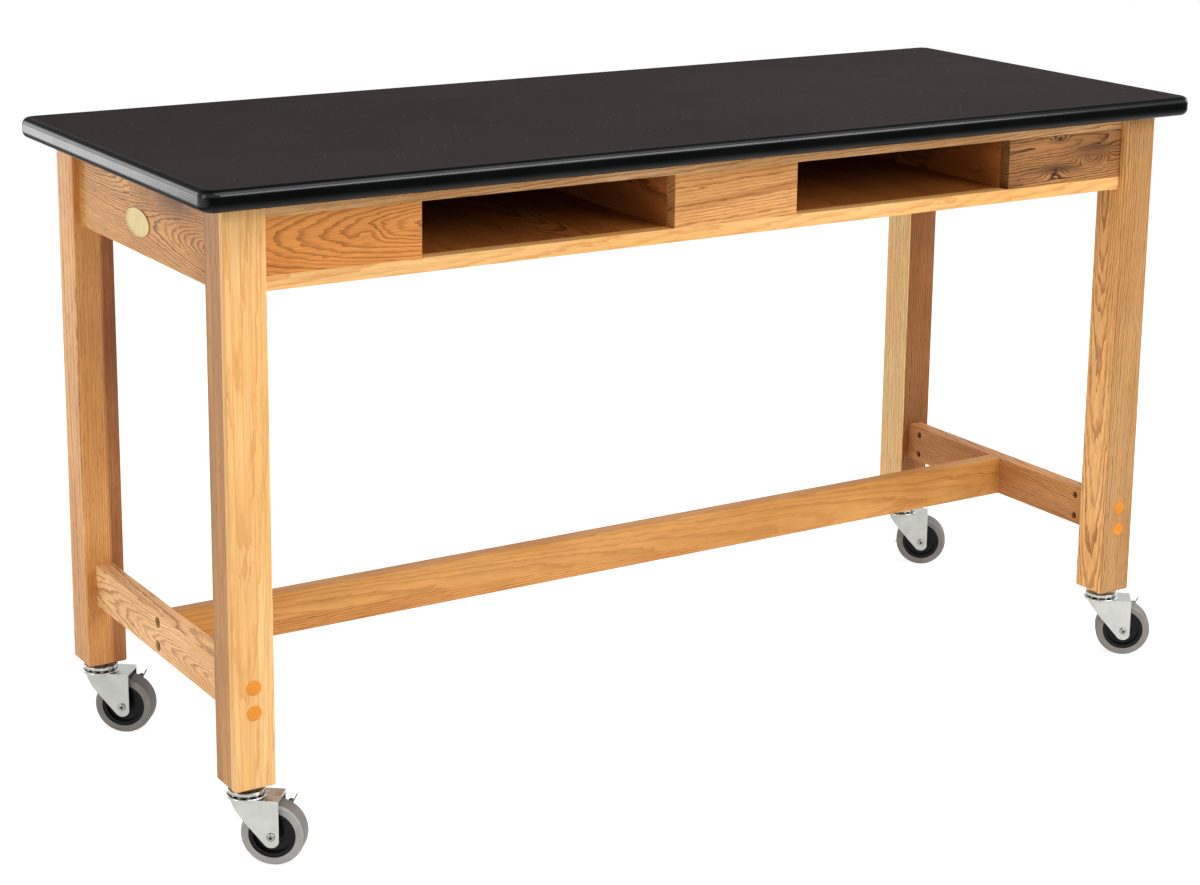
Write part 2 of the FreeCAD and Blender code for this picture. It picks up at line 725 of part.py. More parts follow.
def corner_hardware():
    corner = ("-(between_legs_x)", "-(between_legs_y)", "apron_middle")
    brace = new_body("brace", ("-(between_legs_x)", "-(between_legs_y)", "apron_middle - brace_height / 2"))
    wall_x = "between_legs_x - (apron_in_x)"
    wall_y = "between_legs_y - (apron_in_y)"
    slant = "brace_gap * sqrt(2)"
    turn = "brace_thick * (sqrt(2) - 1)"
    outline = new_sketch(brace, "brace_outline", "XY_Plane")
    polygon(outline, (
        (wall_x, "(%s) - (%s) + brace_flange" % (slant, wall_x)),
        (wall_x, "(%s) - (%s)" % (slant, wall_x)),
        ("(%s) - (%s)" % (slant, wall_y), wall_y),
        ("(%s) - (%s) + brace_flange" % (slant, wall_y), wall_y),
        ("(%s) - (%s) + brace_flange" % (slant, wall_y), "(%s) + brace_thick" % wall_y),
        ("(%s) - (%s) + (%s)" % (slant, wall_y, turn), "(%s) + brace_thick" % wall_y),
        ("(%s) + brace_thick" % wall_x, "(%s) - (%s) + (%s)" % (slant, wall_x, turn)),
        ("(%s) + brace_thick" % wall_x, "(%s) - (%s) + brace_flange" % (slant, wall_x)),
    ))
    pad(brace, "brace_plate", outline, "brace_height")
    rod(brace, "brace_hole", "hanger_radius + bolt_hole_gap", "brace_gap + brace_thick + cut_over",
        ("(brace_gap + brace_thick + cut_over) / sqrt(2)", "(brace_gap + brace_thick + cut_over) / sqrt(2)",
         "brace_height / 2"), "diagonal", cut=True)
    keep(four_ways("corner_braces", [brace]))

    hanger = new_body("hanger", corner)
    rod(hanger, "hanger_rod", "hanger_radius", "hanger_in_leg + hanger_out",
        ("hanger_out / sqrt(2)", "hanger_out / sqrt(2)", 0), "diagonal")
    keep(four_ways("hanger_bolts", [hanger]))

    nut = new_body("hanger_nut", corner)
    seat = "(brace_gap + brace_thick + nut_thick) / sqrt(2)"
    hexagon(nut, "nut_six", "nut_radius", "nut_thick", (seat, seat, 0), "diagonal")
    rod(nut, "nut_hole", "hanger_radius + screw_hole_gap", "nut_thick + cut_over", (seat, seat, 0),
        "diagonal", cut=True)
    keep(four_ways("hanger_nuts", [nut]))


def clip(label, place, facing):
    """An angle clip with one leg on an apron's inner face and the other under the worktop."""
    body = new_body(label, place)
    half = "clip_width / 2"
    middle = "clip_thick + (clip_leg - clip_thick) / 2"
    if facing == "y":
        block(body, label + "_wall", ("-clip_width / 2", 0, "-top_rail_height"), (half, "clip_thick", 0))
        block(body, label + "_roof", ("-clip_width / 2", 0, "-clip_thick"), (half, "clip_leg", 0))
        up_place = (0, middle, "-clip_thick")
    else:
        block(body, label + "_wall", (0, "-clip_width / 2", "-top_rail_height"), ("clip_thick", half, 0))
        block(body, label + "_roof", (0, "-clip_width / 2", "-clip_thick"), ("clip_leg", half, 0))
        up_place = (middle, 0, "-clip_thick")
    rod(body, label + "_up_hole", "screw_hole_radius", "clip_thick", up_place, cut=True)
    rod(body, label + "_level_hole", "screw_hole_radius", "clip_thick", (0, 0, "-(clip_level)"), facing,
        cut=True)
    return body


def screw(label, place, turn):
    """A round headed screw whose shank points along +Z before it is turned."""
    body = new_body(label)
    put(body, place, turn)
    rod(body, label + "_shank", "screw_radius", "screw_length", (0, 0, 0))
    rod(body, label + "_head", "screw_head_radius", "screw_head_thick", (0, 0, "-screw_head_thick"))
    return body


def worktop_clips():
    long_place = ("-(clip_place)", "-(apron_in_y)", "frame_top")
    end_place = ("-(apron_in_x)", "-end_clip_place", "frame_top")
    keep(four_ways("worktop_clips", [clip("long_clip", long_place, "y"), clip("end_clip", end_place, "x")]))
    middle = "clip_thick + (clip_leg - clip_thick) / 2"
    unturned = FreeCAD.Rotation()
    to_front = FreeCAD.Rotation(X_AXIS, 90)
    to_left = FreeCAD.Rotation(Y_AXIS, -90)
    under = "frame_top - clip_thick"
    beside = "frame_top - (clip_level)"
    screws = (
        screw("long_clip_up", ("-(clip_place)", "-(apron_in_y) + (%s)" % middle, under), unturned),
        screw("long_clip_level", ("-(clip_place)", "-(apron_in_y) + clip_thick", beside), to_front),
        screw("end_clip_up", ("-(apron_in_x) + (%s)" % middle, "-end_clip_place", under), unturned),
        screw("end_clip_level", ("-(apron_in_x) + clip_thick", "-end_clip_place", beside), to_left),
    )
    keep(four_ways("clip_screws", list(screws)))


# Oval plate

def oval(label, half_length, half_height, thick):
    ellipse = doc.addObject("Part::Ellipse", label + "_line")
    bind(ellipse, "MajorRadius", half_length)
    bind(ellipse, "MinorRadius", half_height)
    solid = doc.addObject("Part::Extrusion", label)
    solid.Base = ellipse
    solid.DirMode = "Custom"
    solid.Dir = Z_AXIS
    solid.Solid = True
    bind(solid, "LengthFwd", thick)
    return solid


def name_plate():
    """A plain oval plate with a raised rim, face to face with the left end apron."""
    whole = oval("plate_whole", "plate_length / 2", "plate_height / 2", "plate_thick")
    dish = oval("plate_dish", "plate_length / 2 - plate_rim", "plate_height / 2 - plate_rim",
                "plate_recess + cut_over")
    bind(dish, "Placement.Base.z", "plate_thick - plate_recess")
    plate = doc.addObject("Part::Cut", "name_plate")
    plate.Label = "name_plate"
    plate.Base = whole
    plate.Tool = dish
    put(plate, ("-(apron_out_x)", "plate_shift", "apron_bottom + plate_lift"),
        FreeCAD.Rotation(Y_AXIS, ORIGIN - Z_AXIS, ORIGIN - X_AXIS, "ZXY"))
    keep(plate)


# Casters: each is drawn with its swivel axis at the origin and its wheel trailing along +X

def caster_stems():
    """Stem, cap over the balls and kingpin, in one forging."""
    stem = new_body("stem", ("-(leg_x)", "-(leg_y)", 0))
    rod(stem, "cap_disc", "cap_radius", "cap_thick", (0, 0, "cap_bottom"))
    ease(stem, "cap_edge", "cap_round", is_circle(value("cap_radius"), "z", value("cap_top")))
    rod(stem, "shoulder", "shoulder_radius", "stem_bottom - (cap_top)", (0, 0, "cap_top"))
    rod(stem, "stem_rod", "stem_radius", "stem_length + socket_flange_thick", (0, 0, "stem_bottom"))
    ring_groove(stem, "stem_grip", "stem_radius + stem_groove", "2 * stem_groove",
                "stem_bottom + stem_length - stem_groove_height")
    ring_groove(stem, "cap_race", "ball_pitch_radius", "groove_radius", "ball_height")
    rod(stem, "kingpin", "kingpin_radius", "cap_bottom - (crown_bottom) + kingpin_gap",
        (0, 0, "crown_bottom - kingpin_gap"))
    rod(stem, "rivet_head", "rivet_radius", "rivet_thick",
        (0, 0, "crown_bottom - kingpin_gap - rivet_thick"))
    keep(four_ways("caster_stems", [stem]))

    socket = new_body("socket", ("-(leg_x)", "-(leg_y)", "caster_height"))
    rod(socket, "socket_flange", "socket_flange_radius", "socket_flange_thick",
        (0, 0, "-socket_flange_thick"))
    rod(socket, "socket_sleeve", "socket_radius", "socket_length", (0, 0, 0))
    rod(socket, "socket_bore", "socket_bore_radius", "stem_length + socket_flange_thick + socket_gap",
        (0, 0, "-socket_flange_thick"), cut=True)
    keep(four_ways("stem_sockets", [socket]))

    balls = []
    for i in range(BALLS_IN_A_RING):
        ball = doc.addObject("Part::Sphere", "ball_%d" % i)
        bind(ball, "Radius", "ball_radius")
        turn = "%d * 360 / %d" % (i, BALLS_IN_A_RING)
        put(ball, ("-(leg_x) + ball_pitch_radius * cos(%s)" % turn,
                   "-(leg_y) + ball_pitch_radius * sin(%s)" % turn, "ball_height"))
        balls.append(ball)
    keep(four_ways("swivel_balls", balls))


def caster_body(label, side_x, side_y):
    """A body on a caster's swivel axis, turned to the side that the wheel trails to."""
    body = new_body(label)
    put(body, ("%d * (leg_x)" % side_x, "%d * (leg_y)" % side_y, 0), FreeCAD.Rotation(ORIGIN - Z_AXIS, 1))
    bind(body, "Placement.Rotation.Angle", "trail_angle")
    return body


def fork(label, side_x, side_y):
    """A pressed fork: a flat crown with a ball race, folded down into two tapering sides."""
    body = caster_body(label, side_x, side_y)
    rod(body, label + "_race", "race_radius", "race_height", (0, 0, "crown_bottom"))
    ease(body, label + "_race_edge", "race_round",
         lambda edge: edge.Curve.TypeId == "Part::GeomCircle", "race_height / 2")
    rod(body, label + "_nose", "fork_half_width", "crown_top", (0, 0, 0))
    block(body, label + "_back", (0, "-fork_half_width", 0), ("fork_back_end", "fork_half_width", "crown_top"))
    rod(body, label + "_nose_hollow", "fork_in", "crown_bottom", (0, 0, 0), cut=True)
    block(body, label + "_back_hollow", (0, "-(fork_in)", 0), ("fork_back_end", "fork_in", "crown_bottom"),
          cut=True)
    side = new_sketch(body, label + "_side", "XZ_Plane")
    fork_side_outline(side)
    pocket(body, label + "_side_cut", side, "2 * fork_half_width + cut_over")
    rod(body, label + "_axle_hole", "axle_hole_radius", "2 * fork_half_width",
        ("caster_trail", "-fork_half_width", "wheel_radius"), "y", cut=True)
    ring_groove(body, label + "_ball_race", "ball_pitch_radius", "groove_radius", "ball_height")
    rod(body, label + "_kingpin_hole", "kingpin_hole_radius", "race_height", (0, 0, "crown_bottom"), cut=True)
    keep(body)


def fork_side_outline(sketch):
    """What is cut off below the sides: under the slant to the round end, and behind it."""
    end_x = "caster_trail"
    end_z = "wheel_radius - fork_end_drop"
    top_x = "-fork_half_width"
    top_z = "crown_bottom - fork_skirt"
    radius = value("fork_end_radius")
    centre = FreeCAD.Vector(value(end_x), value(end_z), 0)
    top = FreeCAD.Vector(value(top_x), value(top_z), 0)
    gap = centre - top
    lean = FreeCAD.Vector(gap.y, -gap.x, 0).normalize()
    share = radius / gap.Length
    touch = centre + lean * (radius * (1 - share * share) ** 0.5) - gap.normalize() * (radius * share)
    far = "caster_trail + fork_end_radius + fork_back"
    points = {
        "top": top,
        "touch": touch,
        "end": centre + FreeCAD.Vector(radius, 0, 0),
        "far": FreeCAD.Vector(value(far), value(end_z), 0),
        "far low": FreeCAD.Vector(value(far), value("-cut_over"), 0),
        "near low": FreeCAD.Vector(value("-fork_half_width - cut_over"), value("-cut_over"), 0),
        "near top": FreeCAD.Vector(value("-fork_half_width - cut_over"), top.y, 0),
    }
    angle = X_AXIS.getAngle(touch - centre)
    circle = Part.Circle(centre, Z_AXIS, radius)
    sketch.addGeometry(Part.LineSegment(points["top"], points["touch"]))
    sketch.addGeometry(Part.ArcOfCircle(circle, -angle, 0))
    order = ("end", "far", "far low", "near low", "near top", "top")
    for here, there in zip(order, order[1:]):
        sketch.addGeometry(Part.LineSegment(points[here], points[there]))
    sketch.addConstraint(Sketcher.Constraint("Tangent", 0, 2, 1, 1))
    for element in range(1, 7):
        sketch.addConstraint(Sketcher.Constraint("Coincident", element, 2, (element + 1) % 7, 1))
    fix_point(sketch, 0, 1, top_x, top_z)
    fix_point(sketch, 1, 3, end_x, end_z)
    bind(sketch, "Constraints[%d]" % sketch.addConstraint(Sketcher.Constraint("Radius", 1, radius)),
         "fork_end_radius")
    sketch.addConstraint(Sketcher.Constraint("Horizontal", 2))
    sketch.addConstraint(Sketcher.Constraint("Horizontal", 1, 3, 1, 2))
    fix_point(sketch, 3, 2, far, "-cut_over")
    sketch.addConstraint(Sketcher.Constraint("Vertical", 3))
    sketch.addConstraint(Sketcher.Constraint("Horizontal", 4))
    sketch.addConstraint(Sketcher.Constraint("Vertical", 5))
    fix_point(sketch, 5, 2, "-fork_half_width - cut_over", top_z)


def axle(label, side_x, side_y):
    """A round headed axle bolt through the fork and the brake lever, and its nut."""
    bolt = caster_body(label + "_bolt", side_x, side_y)
    at = ("caster_trail", "-fork_half_width", "wheel_radius")
    rod(bolt, label + "_shank", "axle_radius", "fork_half_width + nut_seat + nut_thick + axle_tail", at, "y")
    rod(bolt, label + "_head", "axle_head_radius", "axle_head_height",
        ("caster_trail", "-fork_half_width - axle_head_height", "wheel_radius"), "y")
    ease(bolt, label + "_dome", "axle_head_round",
         is_circle(value("axle_head_radius"), "y", value("-fork_half_width - axle_head_height")),
         "axle_head_height")
    rod(bolt, label + "_dimple", "axle_dimple_radius", "axle_dimple_depth",
        ("caster_trail", "-fork_half_width - axle_head_height", "wheel_radius"), "y", cut=True)
    nut = caster_body(label + "_nut", side_x, side_y)
    seat = ("caster_trail", "nut_seat", "wheel_radius")
    hexagon(nut, label + "_six", "nut_radius", "nut_thick", seat, "y")
    rod(nut, label + "_thread", "axle_hole_radius", "nut_thick", seat, "y", cut=True)
    keep(together(label, [bolt, nut]))


def wheel(name, side_x, side_y):
    """Hub with a dished face on each side, and the tyre round it."""
    hub = caster_body("wheel_hub_" + name, side_x, side_y)
    half = "hub_width / 2"

    def disc(label, radius, low, high, cut=False, body=hub):
        rod(body, body.Name + "_" + label, radius, "(%s) - (%s)" % (high, low),
            ("caster_trail", low, "wheel_radius"), "y", cut=cut)

    disc("rim", "hub_radius", "-hub_width / 2", half)
    disc("front_dish", "hub_dish_radius", "-hub_width / 2", "hub_dish_depth - hub_width / 2", cut=True)
    disc("back_dish", "hub_dish_radius", "hub_width / 2 - hub_dish_depth", half, cut=True)
    deep = "hub_width / 2 - hub_dish_depth - hub_step_depth"
    disc("front_step", "hub_step_radius", "-hub_width / 2", "-(%s)" % deep, cut=True)
    disc("back_step", "hub_step_radius", deep, half, cut=True)
    disc("boss", "boss_radius", "boss_gap - (fork_in)", "fork_in - boss_gap")
    disc("bore", "axle_hole_radius", "-(fork_in)", "fork_in", cut=True)
    keep(hub)

    tyre = caster_body("tyre_" + name, side_x, side_y)
    disc("ring", "wheel_radius", "-tyre_width / 2", "tyre_width / 2", body=tyre)
    radius = value("wheel_radius")
    ease(tyre, tyre.Name + "_shoulders", "tyre_shoulder",
         lambda edge: edge.Curve.TypeId == "Part::GeomCircle" and abs(edge.Curve.Radius - radius) < CLOSE)
    disc("bore", "hub_radius", "-tyre_width / 2", "tyre_width / 2", cut=True, body=tyre)
    keep(tyre)


def lever(label, side_x, side_y, angle):
    """A brake lever: an eye on the axle, a flat web and a flange bent outward past the tyre."""
    body = caster_body(label, side_x, side_y)

    def plate(name, start, low, length, height, width):
        """A box that starts so far out from the axle, and so high beside the line from it."""
        box = body.newObject("PartDesign::AdditiveBox", label + name)
        put(box, ("caster_trail + (%s) * cos(%s) - (%s) * sin(%s)" % (start, angle, low, angle), "lever_near",
                  "wheel_radius + (%s) * sin(%s) + (%s) * cos(%s)" % (start, angle, low, angle)),
            FreeCAD.Rotation(ORIGIN - Y_AXIS, 1))
        bind(box, "Placement.Rotation.Angle", angle)
        for size, text in (("Length", length), ("Width", width), ("Height", height)):
            bind(box, size, text)

    def corner(edge, width):
        """An edge that crosses the sheet's thickness: its place along the lever and beside it."""
        if edge.Curve.TypeId != "Part::GeomLine" or abs(edge.Length - value("lever_thick")) > CLOSE:
            return None
        middle = edge.CenterOfMass
        turn = math.radians(value(angle))
        out, up = middle.x - value("caster_trail"), middle.z - value("wheel_radius")
        return (out * math.cos(turn) + up * math.sin(turn), up * math.cos(turn) - out * math.sin(turn),
                middle.y - value("lever_near") - value(width))

    def web_corner(edge):
        place = corner(edge, "lever_thick / 2")
        return bool(place) and max(abs(place[0] - value("lever_web_length")),
                                   abs(place[1] - value("lever_half_width")), abs(place[2])) < CLOSE

    def flange_corner(edge):
        place = corner(edge, "lever_flange_depth")
        return bool(place) and abs(place[2]) < CLOSE

    plate("_web", "0", "-lever_half_width", "lever_web_length", "2 * lever_half_width", "lever_thick")
    ease(body, label + "_web_round", "lever_web_round", web_corner, "2 * lever_half_width")
    lap = "lever_web_length - lever_flange_lap"
    plate("_flange", lap, "-lever_half_width", "lever_reach - (%s)" % lap, "lever_thick", "lever_flange_depth")
    ease(body, label + "_flange_round", "lever_flange_round", flange_corner, "lever_flange_depth - lever_thick")
    rod(body, label + "_eye", "lever_eye_radius", "lever_thick", ("caster_trail", "lever_near", "wheel_radius"), "y")
    rod(body, label + "_bore", "axle_hole_radius", "lever_thick", ("caster_trail", "lever_near", "wheel_radius"),
        "y", cut=True)
    keep(body)


def casters():
    caster_stems()
    for name, side_x, side_y in (("front_left", -1, -1), ("front_right", 1, -1),
                                 ("back_left", -1, 1), ("back_right", 1, 1)):
        fork("fork_" + name, side_x, side_y)
        axle("axle_" + name, side_x, side_y)
        wheel(name, side_x, side_y)
        turned = "lever_angle + lever_swing" if name == "back_right" else "lever_angle"
        lever("brake_lever_" + name, side_x, side_y, turned)


def main():
    worktop()
    legs()
    frame()
    book_boxes()
    end_stretcher()
    long_stretcher()
    stretcher_fasteners()
    corner_hardware()
    worktop_clips()
    name_plate()
    casters()
    doc.recompute()
    for thing in doc.Objects:
        if "Invalid" in thing.State or "Error" in thing.State:
            raise ValueError("%s is %s" % (thing.Label, thing.State))
    for node in NODES:
        if node.Shape.isNull() or not node.Shape.isValid() or not node.Shape.Solids:
            raise ValueError(node.Label + " has no sound solid")
    for node in NODES:
        node.Shape.exportStep("parts/%s.step" % node.Label)
    print("%d nodes, %d solids" % (len(NODES), sum(len(node.Shape.Solids) for node in NODES)))


main()
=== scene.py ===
import math

import bpy
from mathutils import Matrix, Vector


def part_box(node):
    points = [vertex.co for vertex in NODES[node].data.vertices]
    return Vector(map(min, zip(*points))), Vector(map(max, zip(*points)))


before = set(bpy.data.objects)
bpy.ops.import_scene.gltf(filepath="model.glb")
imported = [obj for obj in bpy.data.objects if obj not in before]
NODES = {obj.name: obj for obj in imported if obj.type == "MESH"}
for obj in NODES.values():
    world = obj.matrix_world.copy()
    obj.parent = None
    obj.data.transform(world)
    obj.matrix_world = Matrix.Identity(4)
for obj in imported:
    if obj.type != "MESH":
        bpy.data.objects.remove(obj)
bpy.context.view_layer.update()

WHITE = (1, 1, 1)

# All four forks trail at this angle, and their axles lie across it
TRAIL = math.radians(39)
AXLE_LINE = (math.sin(TRAIL), math.cos(TRAIL), 0)


# Wiring of node trees

class Wiring:
    """Adds nodes to a tree; a value given for a socket is a number, a colour or another socket."""

    # A Mix node's inputs for share, low and high, and its output, by the kind of value that it mixes
    MIX_SOCKETS = {"FLOAT": ((0, 2, 3), 0), "RGBA": ((0, 6, 7), 2)}

    def __init__(self, tree):
        self.tree = tree

    def add(self, kind, values=(), **settings):
        node = self.tree.nodes.new("ShaderNode" + kind)
        for name, setting in settings.items():
            setattr(node, name, setting)
        for socket, value in dict(values).items():
            self.feed(node.inputs[socket], value)
        return node

    def feed(self, socket, value):
        if isinstance(value, bpy.types.NodeSocket):
            self.tree.links.new(value, socket)
        elif socket.type == "RGBA" and len(value) == 3:
            socket.default_value = (*value, 1)
        else:
            socket.default_value = value

    def use(self, tree, values):
        """A node group with these values, as its outputs."""
        node = self.add("Group")
        node.node_tree = tree
        for socket, value in values.items():
            self.feed(node.inputs[socket], value)
        return node.outputs

    def maths(self, operation, *values, clamp=False):
        return self.add("Math", dict(enumerate(values)), operation=operation, use_clamp=clamp).outputs[0]

    def plus(self, first, second):
        return self.maths("ADD", first, second)

    def less(self, first, second):
        return self.maths("SUBTRACT", first, second)

    def times(self, first, second, clamp=False):
        return self.maths("MULTIPLY", first, second, clamp=clamp)

    def over(self, first, second):
        return self.maths("DIVIDE", first, second)

    def most(self, first, second):
        return self.maths("MAXIMUM", first, second)

    def line(self, value, slope, start):
        """value * slope + start"""
        return self.maths("MULTIPLY_ADD", value, slope, start)

    def rest(self, share):
        """What a share leaves of 1."""
        return self.less(1.0, share)

    def swing(self, noise):
        """A noise between 0 and 1, moved so that it swings round 0."""
        return self.less(noise, 0.5)

    def distance(self, first, second):
        """The length of a way that goes so far in two directions at right angles."""
        return self.maths("SQRT", self.plus(self.times(first, first), self.times(second, second)))

    def step(self, value, low, high):
        """0 below low, 1 above high and smooth between."""
        return self.add("MapRange", {"Value": value, "From Min": low, "From Max": high},
                        interpolation_type="SMOOTHSTEP").outputs[0]

    def vector(self, operation, *values):
        node = self.add("VectorMath", dict(enumerate(values)), operation=operation)
        return node.outputs["Value" if operation in ("DOT_PRODUCT", "LENGTH") else "Vector"]

    def split(self, place):
        return self.add("SeparateXYZ", {0: place}).outputs

    def join(self, x, y, z):
        return self.add("CombineXYZ", {0: x, 1: y, 2: z}).outputs[0]

    def stretch(self, place, across, up, along):
        """The place with its three directions scaled, for a texture with long or short features."""
        node = self.add("Mapping", {"Vector": place})
        node.inputs["Scale"].default_value = (across, up, along)
        return node.outputs[0]

    def drawn_out(self, place, share):
        """The place scaled along the grain only: the smaller the share, the longer a texture's features."""
        return self.stretch(place, 1.0, 1.0, share)

    def noise(self, place, scale, detail=2.0, roughness=0.5):
        values = {"Vector": place, "Scale": scale, "Detail": detail, "Roughness": roughness}
        return self.add("TexNoise", values).outputs["Fac"]

    def mixed(self, kind, values, **settings):
        inputs, output = self.MIX_SOCKETS[kind]
        return self.add("Mix", zip(inputs, values), data_type=kind, **settings).outputs[output]

    def mix(self, share, low, high, blend="MIX"):
        """Two colours mixed by a share of 0 to 1."""
        return self.mixed("RGBA", (share, low, high), blend_type=blend)

    def between(self, share, low, high):
        """Two numbers mixed by a share of 0 to 1."""
        return self.mixed("FLOAT", (share, low, high))

    def level(self, colour, factor):
        """A colour made paler or darker by a factor."""
        return self.mix(1.0, colour, self.join(factor, factor, factor), "MULTIPLY")


# Effects for the finishes

SOCKET_KINDS = {"number": "NodeSocketFloat", "colour": "NodeSocketColor", "place": "NodeSocketVector"}


def effect(name, takes, gives):
    """An empty node group with named sockets, and the wiring to fill it."""
    tree = bpy.data.node_groups.new(name, "ShaderNodeTree")
    for side, sockets in (("INPUT", takes), ("OUTPUT", gives)):
        for socket, kind in sockets.items():
            tree.interface.new_socket(socket, in_out=side, socket_type=SOCKET_KINDS[kind])
    taken = tree.nodes.new("NodeGroupInput").outputs
    given = tree.nodes.new("NodeGroupOutput").inputs
    return tree, Wiring(tree), taken, given


def make_growth_rings():
    """Sawn wood: rings round a heart line in or beside the board, with pores, fibres and slow changes of
    tone. Place is (across, up, along the grain) from the middle of the board."""
    seed_step, other_noise = (0.37, 0.11, 1.7), (3.1, 7.7, 1.3)
    ripple_scale, ripple_share = 6.0, 0.16
    uneven_years, frayed_rings = 2.2, 0.9
    pore_depth, stain_level, late_relief = 0.6, 0.6, 0.3
    tree, w, take, give = effect(
        "Growth rings",
        {"Place": "place", "Seed": "number", "Heart Across": "number", "Heart Up": "number",
         "Lean Across": "number", "Lean Up": "number", "Ring Width": "number", "Wander": "number",
         "Wander Scale": "number", "Push": "number", "Stain": "number", "Line": "number", "Pores": "number",
         "Pale": "colour", "Warm": "colour", "Dark": "colour"},
        {"Color": "colour", "Roughness": "number", "Height": "number"})
    across, up, along = w.split(take["Place"])
    seeds = w.join(take["Seed"], take["Seed"], take["Seed"])
    place = w.vector("MULTIPLY_ADD", seeds, seed_step, take["Place"])
    slow = w.drawn_out(place, share=0.35)
    drift_across = w.noise(slow, take["Wander Scale"])
    drift_up = w.noise(w.vector("ADD", slow, other_noise), take["Wander Scale"])
    ripple = w.noise(w.drawn_out(place, share=0.5), w.times(take["Wander Scale"], ripple_scale))

    def from_heart(here, heart, lean, drift):
        straight = w.less(here, w.line(lean, slope=along, start=heart))
        return w.plus(straight, w.times(w.swing(drift), take["Wander"]))

    side = from_heart(across, take["Heart Across"], take["Lean Across"], drift_across)
    rise = from_heart(up, take["Heart Up"], take["Lean Up"], drift_up)
    radius = w.plus(w.distance(side, rise), w.times(w.times(ripple, take["Wander"]), ripple_share))
    radius = w.plus(radius, take["Push"])
    years = w.noise(w.join(radius, 0.0, 0.0), scale=55.0, detail=1.0)
    rings = w.plus(w.over(radius, take["Ring Width"]), w.times(years, uneven_years))
    fray = w.noise(w.drawn_out(place, share=0.16), scale=230.0)
    rings = w.line(w.swing(fray), slope=frayed_rings, start=rings)
    phase = w.maths("FRACT", rings)
    year = w.add("TexWhiteNoise", {"W": w.maths("FLOOR", rings)}, noise_dimensions="1D").outputs["Value"]
    late = w.times(w.step(phase, low=0.42, high=0.9), w.rest(w.step(phase, low=0.94, high=1.0)))
    late = w.times(late, w.line(year, slope=0.7, start=0.5))

    fibre = w.noise(w.drawn_out(place, share=0.022), scale=620.0, detail=3.0, roughness=0.62)
    vessels = w.noise(w.drawn_out(place, share=0.07), scale=820.0, detail=1.0)
    pores = w.times(w.step(vessels, low=0.56, high=0.66), w.line(late, slope=0.7, start=0.35))
    pores = w.times(pores, take["Pores"])
    cloud = w.noise(w.drawn_out(place, share=0.3), scale=13.0, detail=3.0)

    colour = w.mix(w.step(cloud, low=0.34, high=0.66), take["Pale"], take["Warm"])
    colour = w.mix(w.times(late, take["Line"], clamp=True), colour, take["Dark"])
    colour = w.level(colour, w.line(w.swing(fibre), slope=0.62, start=1.0))
    colour = w.mix(w.times(pores, pore_depth, clamp=True), colour, take["Dark"])
    colour = w.mix(take["Stain"], colour, w.level(take["Dark"], stain_level))
    w.feed(give["Color"], colour)
    w.feed(give["Roughness"], w.line(pores, slope=0.18, start=w.line(fibre, slope=0.12, start=0.36)))
    w.feed(give["Height"], w.less(w.times(late, late_relief), w.plus(pores, fibre)))
    return tree


def make_swirl():
    """An oval round which the grain flows, such as a knot: 1 at its middle and 0 at its edge."""
    tree, w, take, give = effect(
        "Swirl",
        {"Place": "place", "Up": "number", "Along": "number", "Height": "number", "Length": "number"},
        {"Near": "number"})
    place = w.split(take["Place"])
    high = w.over(w.less(place["Y"], take["Up"]), take["Height"])
    long = w.over(w.less(place["Z"], take["Along"]), take["Length"])
    w.feed(give["Near"], w.rest(w.step(w.distance(high, long), low=0.0, high=1.0)))
    return tree


def make_glued_strips():
    """Strips glued side by side: each has its own wood and tone, with a fine dark line between. The whole
    part of Count is a strip's number, and its fraction says how far across that strip the place is."""
    farthest_shift, half_a_strip = (0.012, 0.012, 0.4), 0.5
    tree, w, take, give = effect(
        "Glued strips", {"Place": "place", "Count": "number", "Strip Width": "number", "Seed": "number"},
        {"Place": "place", "Tone": "number", "Joint": "number"})
    number = w.maths("FLOOR", take["Count"])
    edge = w.maths("PINGPONG", w.maths("FRACT", take["Count"]), half_a_strip)
    chance = w.add("TexWhiteNoise", {"Vector": w.join(number, take["Seed"], 0.0)}, noise_dimensions="3D")
    w.feed(give["Place"], w.vector("MULTIPLY_ADD", chance.outputs["Color"], farthest_shift, take["Place"]))
    w.feed(give["Tone"], w.swing(chance.outputs["Value"]))
    from_joint = w.times(edge, take["Strip Width"])
    w.feed(give["Joint"], w.rest(w.step(from_joint, low=0.0001, high=0.0007)))
    return tree


def make_clouds_and_specks():
    """Slow clouds and fine specks that break up a plain finish."""
    tree, w, take, give = effect(
        "Clouds and specks", {"Place": "place", "Cloud Scale": "number", "Speck Scale": "number"},
        {"Cloud": "number", "Speck": "number"})
    cloud = w.noise(take["Place"], take["Cloud Scale"], detail=4.0, roughness=0.6)
    w.feed(give["Cloud"], w.step(cloud, low=0.3, high=0.72))
    w.feed(give["Speck"], w.noise(take["Place"], take["Speck Scale"], roughness=0.6))
    return tree


def make_hair_scratches():
    """Sparse hair-thin scratches in two directions, from handling."""
    tilt_x, tilt_y, thin = 0.6, 0.4, 0.012
    tree, w, take, give = effect("Hair scratches", {"Place": "place", "Scale": "number"},
                                 {"Scratch": "number"})
    found = []
    for turn, narrow in ((0.5, (1.0, thin, 1.0)), (-0.9, (thin, 1.0, 1.0))):
        turned = w.add("Mapping", {"Vector": take["Place"]})
        turned.inputs["Rotation"].default_value = (turn * tilt_x, turn * tilt_y, turn)
        hairs = w.noise(w.stretch(turned.outputs[0], *narrow), take["Scale"], detail=1.0)
        found.append(w.step(hairs, low=0.70, high=0.76))
    w.feed(give["Scratch"], w.most(*found))
    return tree


